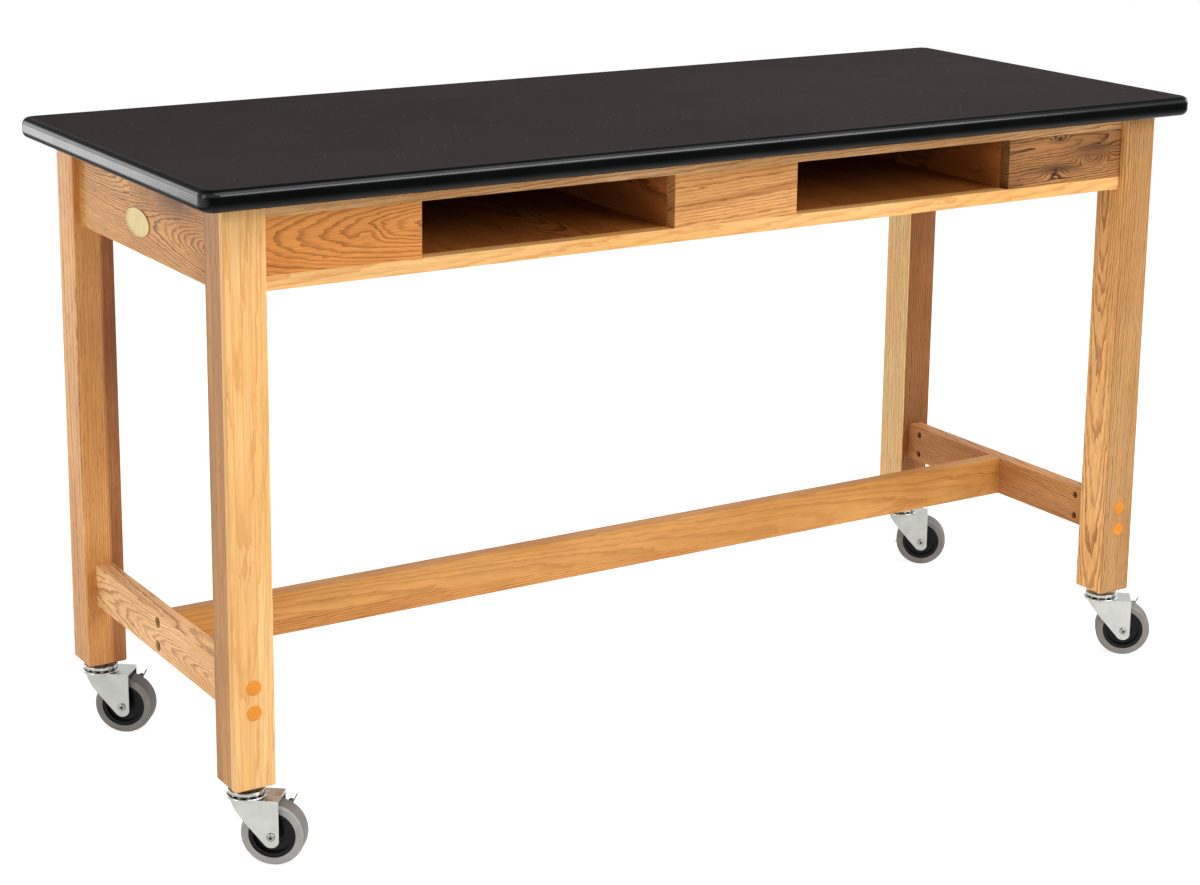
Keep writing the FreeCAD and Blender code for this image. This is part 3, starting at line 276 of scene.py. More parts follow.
def make_edge_wear_and_highlight():
    """1 where the surface turns sharply within a short reach, broken up so that the edges look rubbed
    unevenly: partly rubbed edges and partly a painted highlight on them.
    """
    tree, w, take, give = effect("Edge wear and highlight", {"Place": "place", "Reach": "number"}, {"Wear And Highlight": "number"})
    rounded = w.add("Bevel", {"Radius": take["Reach"]}, samples=4).outputs[0]
    flat = w.add("NewGeometry").outputs["Normal"]
    turned = w.rest(w.vector("DOT_PRODUCT", rounded, flat))
    patchy = w.step(w.noise(take["Place"], scale=38.0, detail=3.0, roughness=0.6), low=0.3, high=0.62)
    w.feed(give["Wear And Highlight"], w.times(w.step(turned, low=0.01, high=0.16), patchy))
    return tree


def make_painted_highlight_band():
    """How much clear coat the worktop's edge gets, laid on by the way the surface faces and by height to
    paint its
    highlight: most on the shoulder of its round and on the two short ends, a little at the foot of the long
    sides and hardly on the lip beside the laminate, which stays dark. Upward and Endward are the normal's z
    and x, and Rise is the height above the edge's foot."""
    shoulder_gloss, less_on_ends, end_gloss, foot_gloss, least_gloss = 0.66, 0.2, 0.7, 0.38, 0.03
    tree, w, take, give = effect("Painted highlight band", {"Upward": "number", "Endward": "number", "Rise": "number"},
                                 {"Gloss": "number"})
    end = w.step(w.maths("ABSOLUTE", take["Endward"]), low=0.5, high=0.95)
    shoulder = w.times(w.step(take["Upward"], low=0.04, high=0.3),
                       w.rest(w.step(take["Upward"], low=0.38, high=0.8)))
    shoulder = w.times(shoulder, w.line(end, slope=-less_on_ends, start=shoulder_gloss))
    upright = w.rest(w.step(w.maths("ABSOLUTE", take["Upward"]), low=0.02, high=0.3))
    upright = w.times(upright, w.times(end, end_gloss))
    foot = w.rest(w.step(take["Rise"], low=0.003, high=0.012))
    foot = w.times(foot, w.line(end, slope=-foot_gloss, start=foot_gloss))
    w.feed(give["Gloss"], w.plus(w.most(shoulder, w.most(upright, foot)), least_gloss))
    return tree


GROWTH_RINGS = make_growth_rings()
SWIRL = make_swirl()
GLUED_STRIPS = make_glued_strips()
CLOUDS_AND_SPECKS = make_clouds_and_specks()
HAIR_SCRATCHES = make_hair_scratches()
EDGE_WEAR_AND_HIGHLIGHT = make_edge_wear_and_highlight()
PAINTED_HIGHLIGHT_BAND = make_painted_highlight_band()


def new_finish(name):
    """A material with its principled shader, its wiring and the place on the piece."""
    material = bpy.data.materials.new(name)
    material.use_nodes = True
    wires = Wiring(material.node_tree)
    shader = material.node_tree.nodes["Principled BSDF"]
    spot = wires.add("TexCoord").outputs
    return material, wires, shader, spot


def clouds_and_specks(wires, spot, cloud_scale, speck_scale):
    values = {"Place": spot["Object"], "Cloud Scale": cloud_scale, "Speck Scale": speck_scale}
    return wires.use(CLOUDS_AND_SPECKS, values)


def hair_scratches(wires, spot, scale):
    return wires.use(HAIR_SCRATCHES, {"Place": spot["Object"], "Scale": scale})["Scratch"]


def edge_wear_and_highlight(wires, place, reach):
    return wires.use(EDGE_WEAR_AND_HIGHLIGHT, {"Place": place, "Reach": reach})["Wear And Highlight"]


def emboss(wires, shader, height, strength, distance):
    bump = wires.add("Bump", {"Strength": strength, "Distance": distance, "Height": height})
    wires.feed(shader.inputs["Normal"], bump.outputs[0])


# Wood

# Glued strips are counted so that a board's middle lies in the middle of this one
MIDDLE_STRIP = 20.5

# The step from the seed of a board's first grain to that of its second
SECOND_SEED = 40


def tone(code):
    """A screen colour of six hex digits, in the linear values that the shader takes."""
    values = [int(code[start:start + 2], 16) / 255 for start in (0, 2, 4)]
    return tuple(v / 12.92 if v <= 0.04045 else ((v + 0.055) / 1.055) ** 2.4 for v in values)


def shades(dark, warm, pale):
    return {"Dark": tone(dark), "Warm": tone(warm), "Pale": tone(pale)}


def swirl(up, along, height, length, push=0.0, stain_and_shade=0.0):
    """An oval in the grain: its middle and half its size in metres, how far it pushes the rings aside and
    how dark it stains the wood, which near the top of the left end apron is partly painted shade."""
    sizes = {"Up": up, "Along": along, "Height": height, "Length": length}
    return sizes, push, stain_and_shade


def glued(direction, width, change):
    """Strips side by side in a direction "across", "up" or "along", and how much their tone changes."""
    return direction, width, change


def beyond(direction, distance, softness):
    """What lies past a plane: its direction (across, up, along), its distance from the board's middle and
    the softness of its border."""
    return direction, distance, softness


def grain(colours, heart, lean=(0.0, 0.0), ring=0.004, wander=0.006, wander_scale=7.0, line=0.6, pores=0.6,
          swirls=(), strips=None):
    """How a board is sawn. heart and lean are (across, up): where the heart runs at the board's middle, and
    how far it moves for each metre along. ring is a year's width, wander how far the rings stray, line how
    dark the late wood is, and pores how dark the pores are."""
    rings = {"Heart Across": heart[0], "Heart Up": heart[1], "Lean Across": lean[0], "Lean Up": lean[1],
             "Ring Width": ring, "Wander": wander, "Wander Scale": wander_scale, "Line": line,
             "Pores": pores, **colours}
    return {"rings": rings, "swirls": swirls, "strips": strips}


def sawn(w, place, sawing, seed):
    """Colour, roughness and height of one grain."""
    joint_depth = 0.5
    joint = None
    if sawing["strips"]:
        direction, width, change = sawing["strips"]
        here = w.split(place)[("across", "up", "along").index(direction)]
        count = w.line(here, slope=1 / width, start=MIDDLE_STRIP)
        strips = w.use(GLUED_STRIPS, {"Place": place, "Count": count, "Strip Width": width, "Seed": seed})
        place, joint = strips["Place"], strips["Joint"]
    push = stain_and_shade = None
    for sizes, swirl_push, swirl_stain_and_shade in sawing["swirls"]:
        near = w.use(SWIRL, {"Place": place, **sizes})["Near"]
        pushed, stained_and_shaded = w.times(near, swirl_push), w.times(near, swirl_stain_and_shade)
        push = w.plus(push, pushed) if push else pushed
        stain_and_shade = w.most(stain_and_shade, stained_and_shaded) if stain_and_shade else stained_and_shaded
    values = {**sawing["rings"], "Seed": seed, "Place": place}
    if push:
        values.update({"Push": push, "Stain": stain_and_shade})
    rings = w.use(GROWTH_RINGS, values)
    colour = rings["Color"]
    if joint:
        colour = w.level(colour, w.line(strips["Tone"], slope=change, start=1.0))
        colour = w.mix(w.times(joint, joint_depth), colour, sawing["rings"]["Dark"])
    return colour, rings["Roughness"], rings["Height"]


def share_beyond(w, place, zone, wobble):
    """1 where the place is beyond every plane of the zone, whose borders wobble along the grain."""
    share = None
    for direction, distance, softness in zone:
        past = w.less(w.vector("DOT_PRODUCT", place, direction), distance)
        if wobble:
            drift = w.noise(w.drawn_out(place, share=0.2), scale=24.0)
            past = w.line(w.swing(drift), slope=wobble, start=past)
        inside = w.step(past, -softness, softness)
        share = w.times(share, inside) if share else inside
    return share


def wood(name, node, along, sawing, seed, second=None, zone=(), wobble=0.0, low_face=None):
    """Lacquered wood with its grain along x, y or z of a node. second is another grain, which holds where
    the place is beyond every plane of the zone. A low face (direction, tint) tints the side that faces the
    low end of x, y or z: painted light or shade on that side."""
    wear_and_highlight_share = 0.3
    material, w, shader, spot = new_finish(name)
    low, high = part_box(node)
    x, y, z = w.split(w.vector("SUBTRACT", spot["Object"], (low + high) / 2))
    place = w.join(*{"x": (y, z, x), "y": (x, z, y), "z": (x, y, z)}[along])
    colour, roughness, height = sawn(w, place, sawing, seed)
    if second:
        share = share_beyond(w, place, zone, wobble)
        other_colour, other_roughness, other_height = sawn(w, place, second, seed + SECOND_SEED)
        colour = w.mix(share, colour, other_colour)
        roughness = w.between(share, roughness, other_roughness)
        height = w.between(share, height, other_height)
    # Painted light and shade: one side is tinted paler or darker for how the light falls on it.
    if low_face:
        direction, tint = low_face
        facing = dict(zip("xyz", w.split(spot["Normal"])))[direction]
        tint = w.mix(w.step(facing, low=-0.6, high=-0.4), tint, WHITE)
        colour = w.mix(1.0, colour, tint, "MULTIPLY")
    # Edges lightened toward the pale shade: partly rubbed edges, partly a painted highlight.
    wear_and_highlight = edge_wear_and_highlight(w, place, reach=0.0016)
    colour = w.mix(w.times(wear_and_highlight, wear_and_highlight_share), colour, sawing["rings"]["Pale"])
    w.feed(shader.inputs["Base Color"], colour)
    w.feed(shader.inputs["Roughness"], roughness)
    shader.inputs["Specular IOR Level"].default_value = 0.12
    shader.inputs["Coat Weight"].default_value = 0.04
    shader.inputs["Coat Roughness"].default_value = 0.2
    emboss(w, shader, height, strength=0.35, distance=0.0004)
    return material


def board_woods():
    """The wood of each leg, frame board and stretcher, by the node that it is put on."""
    found = {}

    def board(node, along, sawing, **more):
        name = node.replace("_", " ") + " wood"
        found[node] = wood(name, node, along, sawing, seed=len(found) + 1, **more)

    board("leg_front_left", "z",
          grain(shades("6b4120", "af7d4c", "c48e56"), heart=(0.02, 0.2), lean=(0.0, 0.01), ring=0.0030,
                wander=0.006, line=0.5, pores=1.0, strips=glued("up", width=0.0148, change=0.4)),
          second=grain(shades("ca833e", "e7b471", "edc184"), heart=(-0.010, 0.03), lean=(0.006, -0.024),
                       ring=0.0052, wander=0.010, wander_scale=5, line=0.42, pores=0.3,
                       strips=glued("across", width=0.0125, change=0.07)),
          zone=(beyond((0, -1, 0), distance=0.0180, softness=0.0003),))
    board("leg_front_right", "z",
          grain(shades("925522", "e6ac66", "f7c07d"), heart=(-0.056, 0.002), lean=(0.045, 0.014),
                ring=0.0033, wander=0.016, wander_scale=8, line=0.68, pores=1.0),
          # Painted shade: the front face is darkened.
          low_face=("y", (0.56, 0.55, 0.58)))
    board("leg_back_left", "z",
          grain(shades("8a532a", "db9a59", "ebad6a"), heart=(0.25, 0.07), lean=(0.004, 0.0), ring=0.0028,
                wander=0.005, line=0.5, pores=1.0),
          second=grain(shades("5f3219", "9d633b", "bd7f4e"), heart=(0.25, 0.07), lean=(0.004, 0.0),
                       ring=0.0024, wander=0.005, line=0.6, pores=1.0),
          zone=(beyond((1, 0, 0), distance=0.0085, softness=0.0035),), wobble=0.006,
          # Painted light: the left face is made paler and cooler.
          low_face=("x", (0.99, 1.06, 1.24)))
    board("leg_back_right", "z",
          grain(shades("562d0e", "905c2f", "a26c3d"), heart=(0.09, 0.004), lean=(0.004, 0.0), ring=0.0034,
                wander=0.006, line=0.75, pores=1.0),
          second=grain(shades("c58348", "ffce8e", "ffde9d"), heart=(0.0, -0.06), lean=(0.0, 0.02),
                       ring=0.0042, wander=0.01, line=0.6, pores=0.8),
          zone=(beyond((-1, 0, 0), distance=0.0248, softness=0.0003),))
    board("front_top_rail", "x",
          grain(shades("935c30", "d09a62", "e2b27c"), heart=(0.004, 0.03), lean=(0.0, 0.05), ring=0.0046,
                wander=0.012, wander_scale=11, line=0.6, pores=0.8))
    board("front_lower_rail", "x",
          grain(shades("c47b37", "e0aa65", "e6b676"), heart=(0.03, 0.02), lean=(0.05, 0.02), ring=0.006,
                wander=0.02, wander_scale=16, line=0.42, pores=0.3))
    board("front_panel_left", "x",
          grain(shades("824117", "cd823f", "de944b"), heart=(0.018, 0.008), lean=(-0.168, 0.0), ring=0.0042,
                wander=0.006, wander_scale=16, line=0.6, pores=0.6,
                swirls=(swirl(up=0.002, along=0.035, height=0.018, length=0.03, push=0.005),)))
    board("front_panel_middle", "x",
          grain(shades("864d20", "ce9150", "dfa364"), heart=(0.05, 0.12), lean=(0.0, 0.05), ring=0.0046,
                wander=0.006, line=0.6, pores=0.9,
                swirls=(swirl(up=0.014, along=-0.055, height=0.003, length=0.008, push=0.004, stain_and_shade=0.6),)),
          second=grain(shades("774420", "bf8148", "cf9356"), heart=(0.05, 0.12), lean=(0.0, 0.05),
                       ring=0.0046, wander=0.006, line=0.6, pores=0.9),
          zone=(beyond((0, 1, -0.10), distance=-0.006, softness=0.003),
                beyond((0, -1, 0.10), distance=-0.003, softness=0.003)), wobble=0.007)
    board("front_panel_right", "x",
          grain(shades("3a1f0e", "6e4224", "b07a48"), heart=(0.004, 0.022), lean=(0.05, 0.03), ring=0.0036,
                wander=0.014, wander_scale=12, line=0.85, pores=1.0,
                swirls=(swirl(up=-0.015, along=-0.018, height=0.017, length=0.034, push=0.010),
                        swirl(up=-0.015, along=-0.018, height=0.0075, length=0.012, stain_and_shade=1.0),
                        swirl(up=-0.013, along=-0.012, height=0.012, length=0.090, stain_and_shade=0.75),
                        swirl(up=0.013, along=0.055, height=0.010, length=0.075, stain_and_shade=0.5),
                        swirl(up=0.0, along=0.052, height=0.017, length=0.046, push=0.022, stain_and_shade=0.15),
                        swirl(up=0.029, along=-0.012, height=0.009, length=0.024, push=0.008, stain_and_shade=0.3),
                        swirl(up=0.029, along=-0.012, height=0.005, length=0.011, stain_and_shade=1.0))))
    board("back_apron", "x",
          grain(shades("835024", "cf965c", "e0ac72"), heart=(0.03, -0.02), lean=(0.05, 0.03), ring=0.0040,
                wander=0.012, line=0.65, pores=0.8, strips=glued("along", width=0.34, change=0.12)))
    board("end_apron_left", "y",
          grain(shades("72451c", "be8142", "d79955"), heart=(0.0265, -0.01), lean=(0.11, 0.0), ring=0.0027,
                wander=0.014, wander_scale=9, line=0.9, pores=1.0,
                swirls=(swirl(up=0.03, along=-0.02, height=0.03, length=0.09, push=0.004, stain_and_shade=0.3),
                        # Partly a dark patch in the wood, partly painted shade under the worktop's overhang.
                        swirl(up=0.034, along=-0.10, height=0.034, length=0.11, stain_and_shade=0.85))),
          second=grain(shades("663d1a", "c18242", "dea15a"), heart=(0.03, 0.03), lean=(-0.14, 0.1),
                       ring=0.0030, wander=0.014, wander_scale=10, line=0.9, pores=0.9),
          zone=(beyond((0, 0, 1), distance=0.038, softness=0.0004),))
    board("end_apron_right", "y",
          grain(shades("7a4817", "c18445", "d59a56"), heart=(-0.02, 0.03), lean=(0.10, 0.1), ring=0.0036,
                wander=0.014, line=0.8, pores=0.9, strips=glued("along", width=0.14, change=0.14)))
    board("end_stretcher_left", "y",
          grain(shades("a26934", "ebb375", "fdcc93"), heart=(0.0095, -0.006), lean=(0.075, 0.0), ring=0.0026,
                wander=0.012, wander_scale=13, line=0.66, pores=1.0))
    board("end_stretcher_right", "y",
          grain(shades("75401c", "bf834c", "d3975b"), heart=(0.02, 0.09), lean=(0.0, 0.05), ring=0.0033,
                wander=0.010, line=0.7, pores=1.0))
    board("long_stretcher", "x",
          grain(shades("a1642b", "c28743", "d49a57"), heart=(0.03, -0.014), lean=(0.03, 0.0), ring=0.0046,
                wander=0.012, wander_scale=6, line=0.42, pores=0.6),
          second=grain(shades("8c5529", "c88949", "db9e59"), heart=(0.03, 0.05), lean=(0.0, 0.02),
                       ring=0.0028, wander=0.008, line=0.6, pores=0.9),
          zone=(beyond((0, -1, -0.0165), distance=0.015, softness=0.002),
                beyond((0, 0, -1), distance=-0.2, softness=0.1)), wobble=0.006)
    return found


def plug_wood():
    sawing = grain(shades("b46512", "d68427", "e08e31"), heart=(0.02, 0.02), ring=0.003, line=0.3, pores=0.5)
    return wood("plug wood", "wood_plugs", "x", sawing, seed=30)


def core_wood():
    sawing = grain(shades("a8794a", "cc9d68", "d8ae7c"), heart=(0.2, 0.4), ring=0.01, line=0.1, pores=0.1)
    return wood("core board", "top_core", "x", sawing, seed=31)


def box_floor_wood():
    sawing = grain(shades("461e09", "a7612c", "bb7135"), heart=(0.05, -0.03), lean=(0.01, 0.06), ring=0.005,
                   wander=0.02, line=0.7, pores=0.8)
    return wood("box floor wood", "box_floor_left", "y", sawing, seed=32)


def box_wall_wood():
    sawing = grain(shades("733812", "c1763b", "d98a49"), heart=(0.05, -0.03), lean=(0.01, 0.04), ring=0.005,
                   wander=0.02, line=0.6, pores=0.8)
    return wood("box wall wood", "box_wall_left_outer", "y", sawing, seed=33)


# Plastic, rubber and metal

def laminate():
    """The worktop's matte black sheet, with faint clouds and pale hair scratches."""
    scratch_share = 0.12
    material, w, shader, spot = new_finish("matte laminate")
    made = clouds_and_specks(w, spot, cloud_scale=3.0, speck_scale=900.0)
    scratch = hair_scratches(w, spot, scale=160.0)
    black = w.mix(made["Cloud"], (0.020, 0.0145, 0.0148), (0.025, 0.0185, 0.019))
    colour = w.mix(w.times(scratch, scratch_share), black, (0.09, 0.085, 0.085))
    w.feed(shader.inputs["Base Color"], colour)
    w.feed(shader.inputs["Roughness"], w.line(made["Speck"], slope=0.12, start=0.42))
    shader.inputs["Specular IOR Level"].default_value = 0.002
    emboss(w, shader, w.less(made["Speck"], scratch), strength=0.2, distance=0.0002)
    return material


def edge_plastic():
    """The worktop's black moulding, whose clear coat is laid on in bands to paint its highlight."""
    material, w, shader, spot = new_finish("glossy edge")
    made = clouds_and_specks(w, spot, cloud_scale=14.0, speck_scale=260.0)
    scratch = hair_scratches(w, spot, scale=240.0)
    facing = w.split(spot["Normal"])
    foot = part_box("edge_moulding")[0].z
    rise = w.less(w.split(spot["Object"])["Z"], foot)
    # Painted highlight: the clear coat is laid on by the normal and the height, strongest on the shoulder,
    # to show the lamp's reflection there and keep the lip dark.
    painted_highlight_coat = w.use(PAINTED_HIGHLIGHT_BAND, {"Upward": facing["Z"], "Endward": facing["X"], "Rise": rise})["Gloss"]
    colour = w.mix(made["Cloud"], (0.0008, 0.0011, 0.0011), (0.0016, 0.0020, 0.0020))
    w.feed(shader.inputs["Base Color"], colour)
    w.feed(shader.inputs["Roughness"], w.line(scratch, slope=0.12, start=0.4))
    w.feed(shader.inputs["Coat Weight"], w.times(painted_highlight_coat, w.line(made["Cloud"], slope=0.15, start=0.9)))
    shader.inputs["Specular IOR Level"].default_value = 0.01
    shader.inputs["Coat Roughness"].default_value = 0.16
    emboss(w, shader, made["Speck"], strength=0.06, distance=0.0002)
    return material


def backer_sheet():
    """The plain brown sheet under the worktop."""
    material, w, shader, spot = new_finish("backer sheet")
    made = clouds_and_specks(w, spot, cloud_scale=5.0, speck_scale=300.0)
    brown = w.mix(made["Speck"], (0.10, 0.07, 0.045), (0.16, 0.11, 0.07))
    w.feed(shader.inputs["Base Color"], w.level(brown, w.line(made["Cloud"], slope=0.3, start=0.8)))
    shader.inputs["Roughness"].default_value = 0.7
    emboss(w, shader, made["Speck"], strength=0.3, distance=0.0002)
    return material


def plated(name, dull, bright, roughness, cloud_scale=60.0, metallic=1.0, wear_and_highlight_colour=None):
    """Plated metal: a slow bloom of dull and bright patches and fine scratches, and edges lightened to a
    given edge colour where one is given, partly as rubbing and partly as a painted highlight."""
    wear_and_highlight_share = 0.5
    material, w, shader, spot = new_finish(name)
    made = clouds_and_specks(w, spot, cloud_scale, speck_scale=1500.0)
    scratch = hair_scratches(w, spot, scale=700.0)
    colour = w.mix(made["Cloud"], dull, bright)
    if wear_and_highlight_colour:
        # Edges lightened: partly rubbed plating, partly a painted highlight.
        wear_and_highlight = edge_wear_and_highlight(w, spot["Object"], reach=0.0008)
        colour = w.mix(w.times(wear_and_highlight, wear_and_highlight_share), colour, wear_and_highlight_colour)
    w.feed(shader.inputs["Base Color"], colour)
    shader.inputs["Metallic"].default_value = metallic
    rough = w.line(made["Cloud"], slope=0.08, start=roughness)
    w.feed(shader.inputs["Roughness"], w.line(scratch, slope=0.15, start=rough))
    emboss(w, shader, w.less(made["Speck"], scratch), strength=0.06, distance=0.0001)
    return material


def plate_brass():
    return plated("plate brass", dull=tone("bca355"), bright=tone("ccb76e"), roughness=0.3, cloud_scale=50.0,
                  metallic=0.2, wear_and_highlight_colour=tone("efdcaa"))


def stem_zinc():
    return plated("stem zinc", dull=(0.36, 0.36, 0.34), bright=(0.52, 0.52, 0.50), roughness=0.1,
                  wear_and_highlight_colour=(0.85, 0.85, 0.83))


def fork_zinc():
    return plated("fork zinc", dull=(0.43, 0.445, 0.415), bright=(0.50, 0.51, 0.475), roughness=0.2,
                  cloud_scale=45.0, wear_and_highlight_colour=(0.86, 0.87, 0.85))


def bright_zinc():
    return plated("bright zinc", dull=(0.66, 0.67, 0.65), bright=(0.80, 0.81, 0.79), roughness=0.08,
                  wear_and_highlight_colour=(0.9, 0.9, 0.88))


def hardware_zinc():
    return plated("hardware zinc", dull=(0.50, 0.50, 0.47), bright=(0.62, 0.61, 0.57), roughness=0.3,
                  wear_and_highlight_colour=(0.8, 0.79, 0.75))


def nut_steel():
    return plated("nut steel", dull=(0.10, 0.095, 0.085), bright=(0.17, 0.16, 0.15), roughness=0.35)


def axle_steel():
    """Bright steel in dark tones that stand for the dark surroundings it reflects, a painted reflection, and
    darker still in the middle of the axle's heads: painted shade where a tubular rivet's recess would be.
    """
    # Painted reflection: the steel's tones are dark to stand for the dark surroundings seen in its heads.
    steel = plated("axle steel", dull=(0.26, 0.26, 0.25), bright=(0.36, 0.36, 0.34), roughness=0.12,
                   wear_and_highlight_colour=(0.8, 0.8, 0.78))
    middle, painted_recess_shade_colour = (0.5, 0.5, 0.5), (0.02, 0.016, 0.012)
    w = Wiring(steel.node_tree)
    colour = steel.node_tree.nodes["Principled BSDF"].inputs["Base Color"]
    low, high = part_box("axle_front_left")
    offset = w.vector("SUBTRACT", w.add("TexCoord").outputs["Generated"], middle)
    offset = w.vector("MULTIPLY", offset, tuple(high - low))
    from_axis = w.vector("LENGTH", w.vector("CROSS_PRODUCT", offset, AXLE_LINE))
    # Painted shade in the middle of each head, where a tubular rivet's recess would be.
    painted_recess_shade = w.rest(w.step(from_axis, low=0.0016, high=0.0021))
    w.feed(colour, w.mix(painted_recess_shade, colour.links[0].from_socket, painted_recess_shade_colour))
    return steel


def tyre_rubber(name, sides, treads):
    """Grey rubber, with another tone on its two sides than on the tread between them."""
    material, w, shader, spot = new_finish(name)
    made = clouds_and_specks(w, spot, cloud_scale=55.0, speck_scale=1300.0)
    sideways = w.maths("ABSOLUTE", w.vector("DOT_PRODUCT", spot["Normal"], AXLE_LINE))
    side, tread = (w.mix(made["Cloud"], *map(tone, tones)) for tones in (sides, treads))
    w.feed(shader.inputs["Base Color"], w.mix(w.step(sideways, low=0.35, high=0.75), tread, side))
    w.feed(shader.inputs["Roughness"], w.line(made["Speck"], slope=0.2, start=0.38))
    emboss(w, shader, made["Speck"], strength=0.2, distance=0.0002)
    return material


def hub_plastic():
    """Near-black moulded plastic."""
    material, w, shader, spot = new_finish("hub plastic")
    made = clouds_and_specks(w, spot, cloud_scale=70.0, speck_scale=900.0)
    colour = w.mix(made["Cloud"], (0.0035, 0.0035, 0.004), (0.007, 0.007, 0.0075))
    w.feed(shader.inputs["Base Color"], colour)
    w.feed(shader.inputs["Roughness"], w.line(made["Speck"], slope=0.15, start=0.2))
    shader.inputs["Specular IOR Level"].default_value = 0.15
    emboss(w, shader, made["Speck"], strength=0.1, distance=0.0001)
    return material


# Finishes and softened edges on the pieces

def dress_nodes():
    """Each node takes the finish of its own name, or else the first one whose start fits its name. The last
    fits every name."""
    bright, dark = bright_zinc(), nut_steel()
    by_name = board_woods()
    by_name.update({
        "wood_plugs": plug_wood(), "top_core": core_wood(), "top_laminate": laminate(),
        "edge_moulding": edge_plastic(), "top_backer": backer_sheet(), "name_plate": plate_brass(),
        "caster_stems": stem_zinc(), "swivel_balls": bright, "barrel_nuts": dark, "stretcher_bolts": dark,
    })
    by_start = (
        ("box_wall", box_wall_wood()), ("box_", box_floor_wood()), ("fork_", fork_zinc()),
        ("axle_", axle_steel()), ("brake_lever_", bright), ("wheel_hub_", hub_plastic()),
        # Painted light: the front left tyre has a paler, lit copy of the same tyre rubber.
        ("tyre_front_left", tyre_rubber("tyre rubber painted lit", ("94928e", "a09e9a"), ("5e5752", "6c655f"))),
        ("tyre_", tyre_rubber("tyre rubber", ("736f6a", "807c77"), ("4a433e", "57504a"))),
        ("", hardware_zinc()),
    )
    for name, node in NODES.items():
        finish = by_name.get(name) or next(found for start, found in by_start if name.startswith(start))
        node.data.materials.clear()
        node.data.materials.append(finish)


def soften_edges():
    """A hair's breadth of round on the sawn and stamped edges, so that they catch the light, and a wider one
    on the forks' folds."""
    sawn_round, stamped_round, plate_round = 0.0005, 0.0003, 0.0004
    rounds = {"front_": sawn_round, "back_": sawn_round, "end_apron": sawn_round, "box_": sawn_round,
              "brake_": stamped_round, "name_": plate_round}
    for name, node in NODES.items():
        for start, width in rounds.items():
            if name.startswith(start):
                soften(node, width)
        if name.startswith("fork_"):
            fold_crown(node)


def soften(node, width, folds=None):
    """Rounds the sharp edges of a node, or only the edges of the vertex group named by folds."""
    weld = node.modifiers.new("joined", "WELD")
    weld.merge_threshold = 0.00001
    bevel = node.modifiers.new("softened", "BEVEL")
    bevel.width = width
    bevel.harden_normals = True
    if folds:
        bevel.limit_method = "VGROUP"
        bevel.vertex_group = folds
        bevel.segments = 4
    else:
        bevel.limit_method = "ANGLE"
        bevel.angle_limit = math.radians(40)
        bevel.segments = 2


def fold_crown(fork):
    """Rounds the two folds between the fork's flat crown and its sides."""
    side_slack, crown_depth, fold_round = 0.0002, 0.002, 0.002
    low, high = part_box(fork.name)
    centre = (low + high) / 2
    folds = fork.vertex_groups.new(name="folds")
    reach = [abs((vertex.co - centre).dot(Vector(AXLE_LINE))) for vertex in fork.data.vertices]
    widest = max(reach)
    found = [vertex.index for vertex, far in zip(fork.data.vertices, reach)
             if far > widest - side_slack and vertex.co.z > high.z - crown_depth]
    folds.add(found, 1.0, "REPLACE")
    soften(fork, fold_round, folds.name)


# Floor, light and camera

FLOOR_REACH = 30.0
LAMP_AIM = Vector((0, 0, 0.5))

# The photograph's size and the point where the lens axis meets it, in pixels, and the camera's stand
PHOTO_WIDTH, PHOTO_HEIGHT = 1200, 885
AXIS_X, AXIS_Y = 624.37, 286.5
FOCAL_PIXELS = 2569.5
SENSOR_WIDTH = 36.0
CAMERA_PLACE = (-1.8872, -2.9404, 1.3941)
CAMERA_YAW, CAMERA_PITCH, CAMERA_ROLL = -0.569, -0.225, 0.013


def seen_rays(w):
    """1 for camera, mirror and see-through rays."""
    path = w.add("LightPath").outputs
    return w.most(path["Is Camera Ray"], w.most(path["Is Glossy Ray"], path["Is Transmission Ray"]))


def lay_floor():
    """A plain pale floor. Seen rays find it glowing near white, with the table's soft shadow."""
    mesh = bpy.data.meshes.new("floor")
    corners = [(x * FLOOR_REACH, y * FLOOR_REACH, 0) for x, y in ((-1, -1), (1, -1), (1, 1), (-1, 1))]
    mesh.from_pydata(corners, [], [(0, 1, 2, 3)])
    floor = bpy.data.objects.new("floor", mesh)
    bpy.context.scene.collection.objects.link(floor)
    material, w, shader, _ = new_finish("pale floor")
    shader.inputs["Base Color"].default_value = (0.9, 0.9, 0.9, 1)
    shader.inputs["Roughness"].default_value = 0.9
    paper = w.add("BsdfDiffuse", {"Color": (0.45, 0.45, 0.45)})
    glow = w.add("Emission", {"Color": WHITE, "Strength": 0.8})
    both = w.add("AddShader", {0: paper.outputs[0], 1: glow.outputs[0]})
    choice = w.add("MixShader", {0: seen_rays(w), 1: shader.outputs[0], 2: both.outputs[0]})
    w.feed(material.node_tree.nodes["Material Output"].inputs["Surface"], choice.outputs[0])
    mesh.materials.append(material)


def soft_lamp(name, place, width, height, watts):
    lamp = bpy.data.lights.new(name, "AREA")
    lamp.shape = "RECTANGLE"
    lamp.size = width
    lamp.size_y = height
    lamp.energy = watts
    holder = bpy.data.objects.new(name, lamp)
    holder.location = place
    holder.rotation_euler = (LAMP_AIM - Vector(place)).to_track_quat("-Z", "Y").to_euler()
    bpy.context.scene.collection.objects.link(holder)


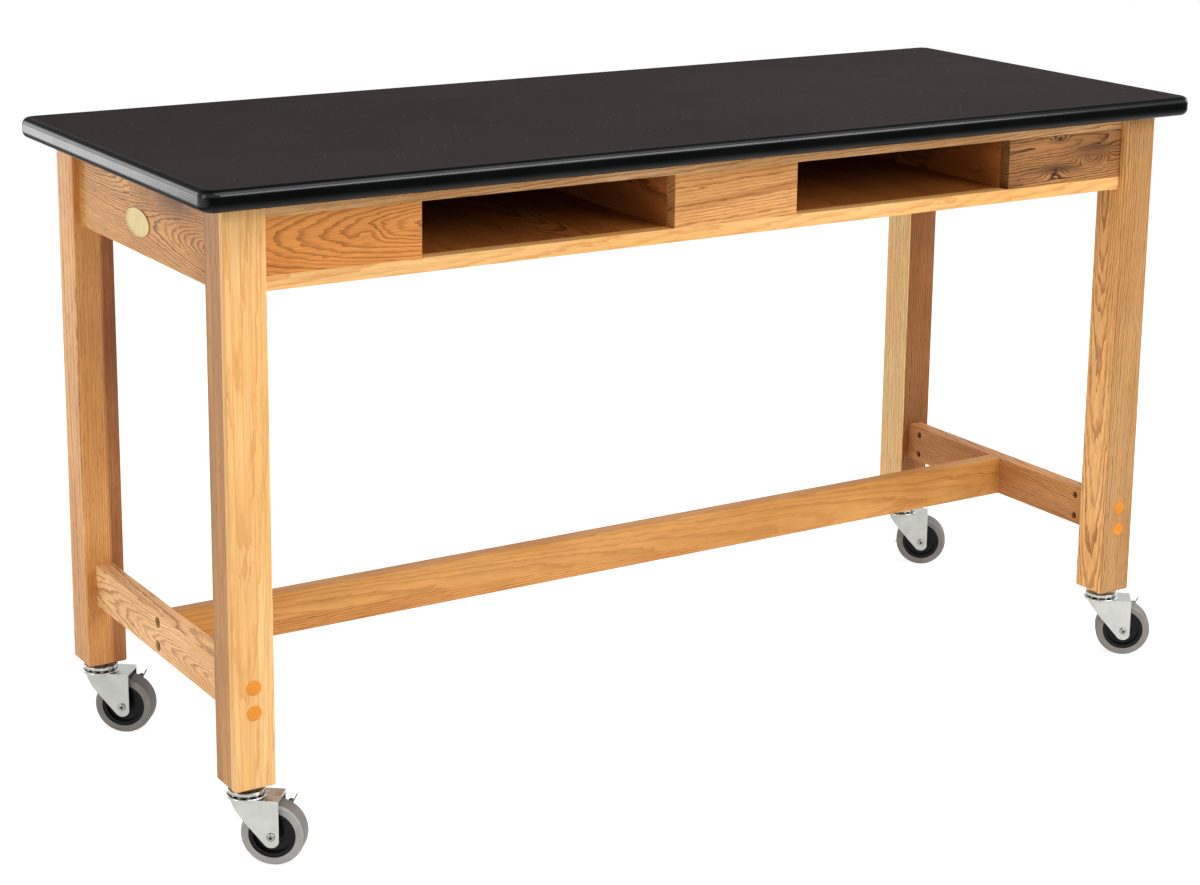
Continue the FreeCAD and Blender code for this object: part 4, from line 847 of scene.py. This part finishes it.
def light_room():
    """A dim room that seen rays find white, and five soft lamps."""
    world = bpy.data.worlds.new("studio")
    bpy.context.scene.world = world
    world.use_nodes = True
    w = Wiring(world.node_tree)
    ambient = world.node_tree.nodes["Background"]
    ambient.inputs["Color"].default_value = (1, 1, 1, 1)
    ambient.inputs["Strength"].default_value = 0.42
    white = w.add("Background", {"Color": WHITE, "Strength": 1.0})
    blend = w.add("MixShader", {0: seen_rays(w), 1: ambient.outputs[0], 2: white.outputs[0]})
    w.feed(world.node_tree.nodes["World Output"].inputs["Surface"], blend.outputs[0])
    soft_lamp("overhead softbox", place=(0.5, -1.1, 2.9), width=3.2, height=1.4, watts=66)
    soft_lamp("front softbox", place=(1.6, -3.0, 2.3), width=2.4, height=1.3, watts=66)
    soft_lamp("left softbox", place=(-3.4, -0.2, 1.4), width=1.2, height=1.4, watts=26)
    soft_lamp("right fill", place=(3.4, 0.3, 1.4), width=1.6, height=1.6, watts=20)
    soft_lamp("back softbox", place=(-2.1, 3.2, 0.95), width=1.1, height=1.7, watts=20)


def place_camera():
    """The photograph's view."""
    flat = math.cos(CAMERA_PITCH)
    look = Vector((-math.sin(CAMERA_YAW) * flat, math.cos(CAMERA_YAW) * flat, math.sin(CAMERA_PITCH)))
    level = Vector((math.cos(CAMERA_YAW), math.sin(CAMERA_YAW), 0))
    steep = level.cross(look)
    right = level * math.cos(CAMERA_ROLL) + steep * math.sin(CAMERA_ROLL)
    up = steep * math.cos(CAMERA_ROLL) - level * math.sin(CAMERA_ROLL)
    camera = bpy.data.cameras.new("camera")
    camera.sensor_width = SENSOR_WIDTH
    camera.lens = FOCAL_PIXELS / PHOTO_WIDTH * SENSOR_WIDTH
    camera.shift_x = (PHOTO_WIDTH / 2 - AXIS_X) / PHOTO_WIDTH
    camera.shift_y = (AXIS_Y - PHOTO_HEIGHT / 2) / PHOTO_WIDTH
    holder = bpy.data.objects.new("camera", camera)
    turn = Matrix((right, up, -look)).transposed()
    holder.matrix_world = Matrix.Translation(CAMERA_PLACE) @ turn.to_4x4()
    bpy.context.scene.collection.objects.link(holder)
    bpy.context.scene.camera = holder


dress_nodes()
soften_edges()
lay_floor()
light_room()
place_camera()
bpy.context.scene.view_settings.view_transform = "Standard"
bpy.context.view_layer.update()
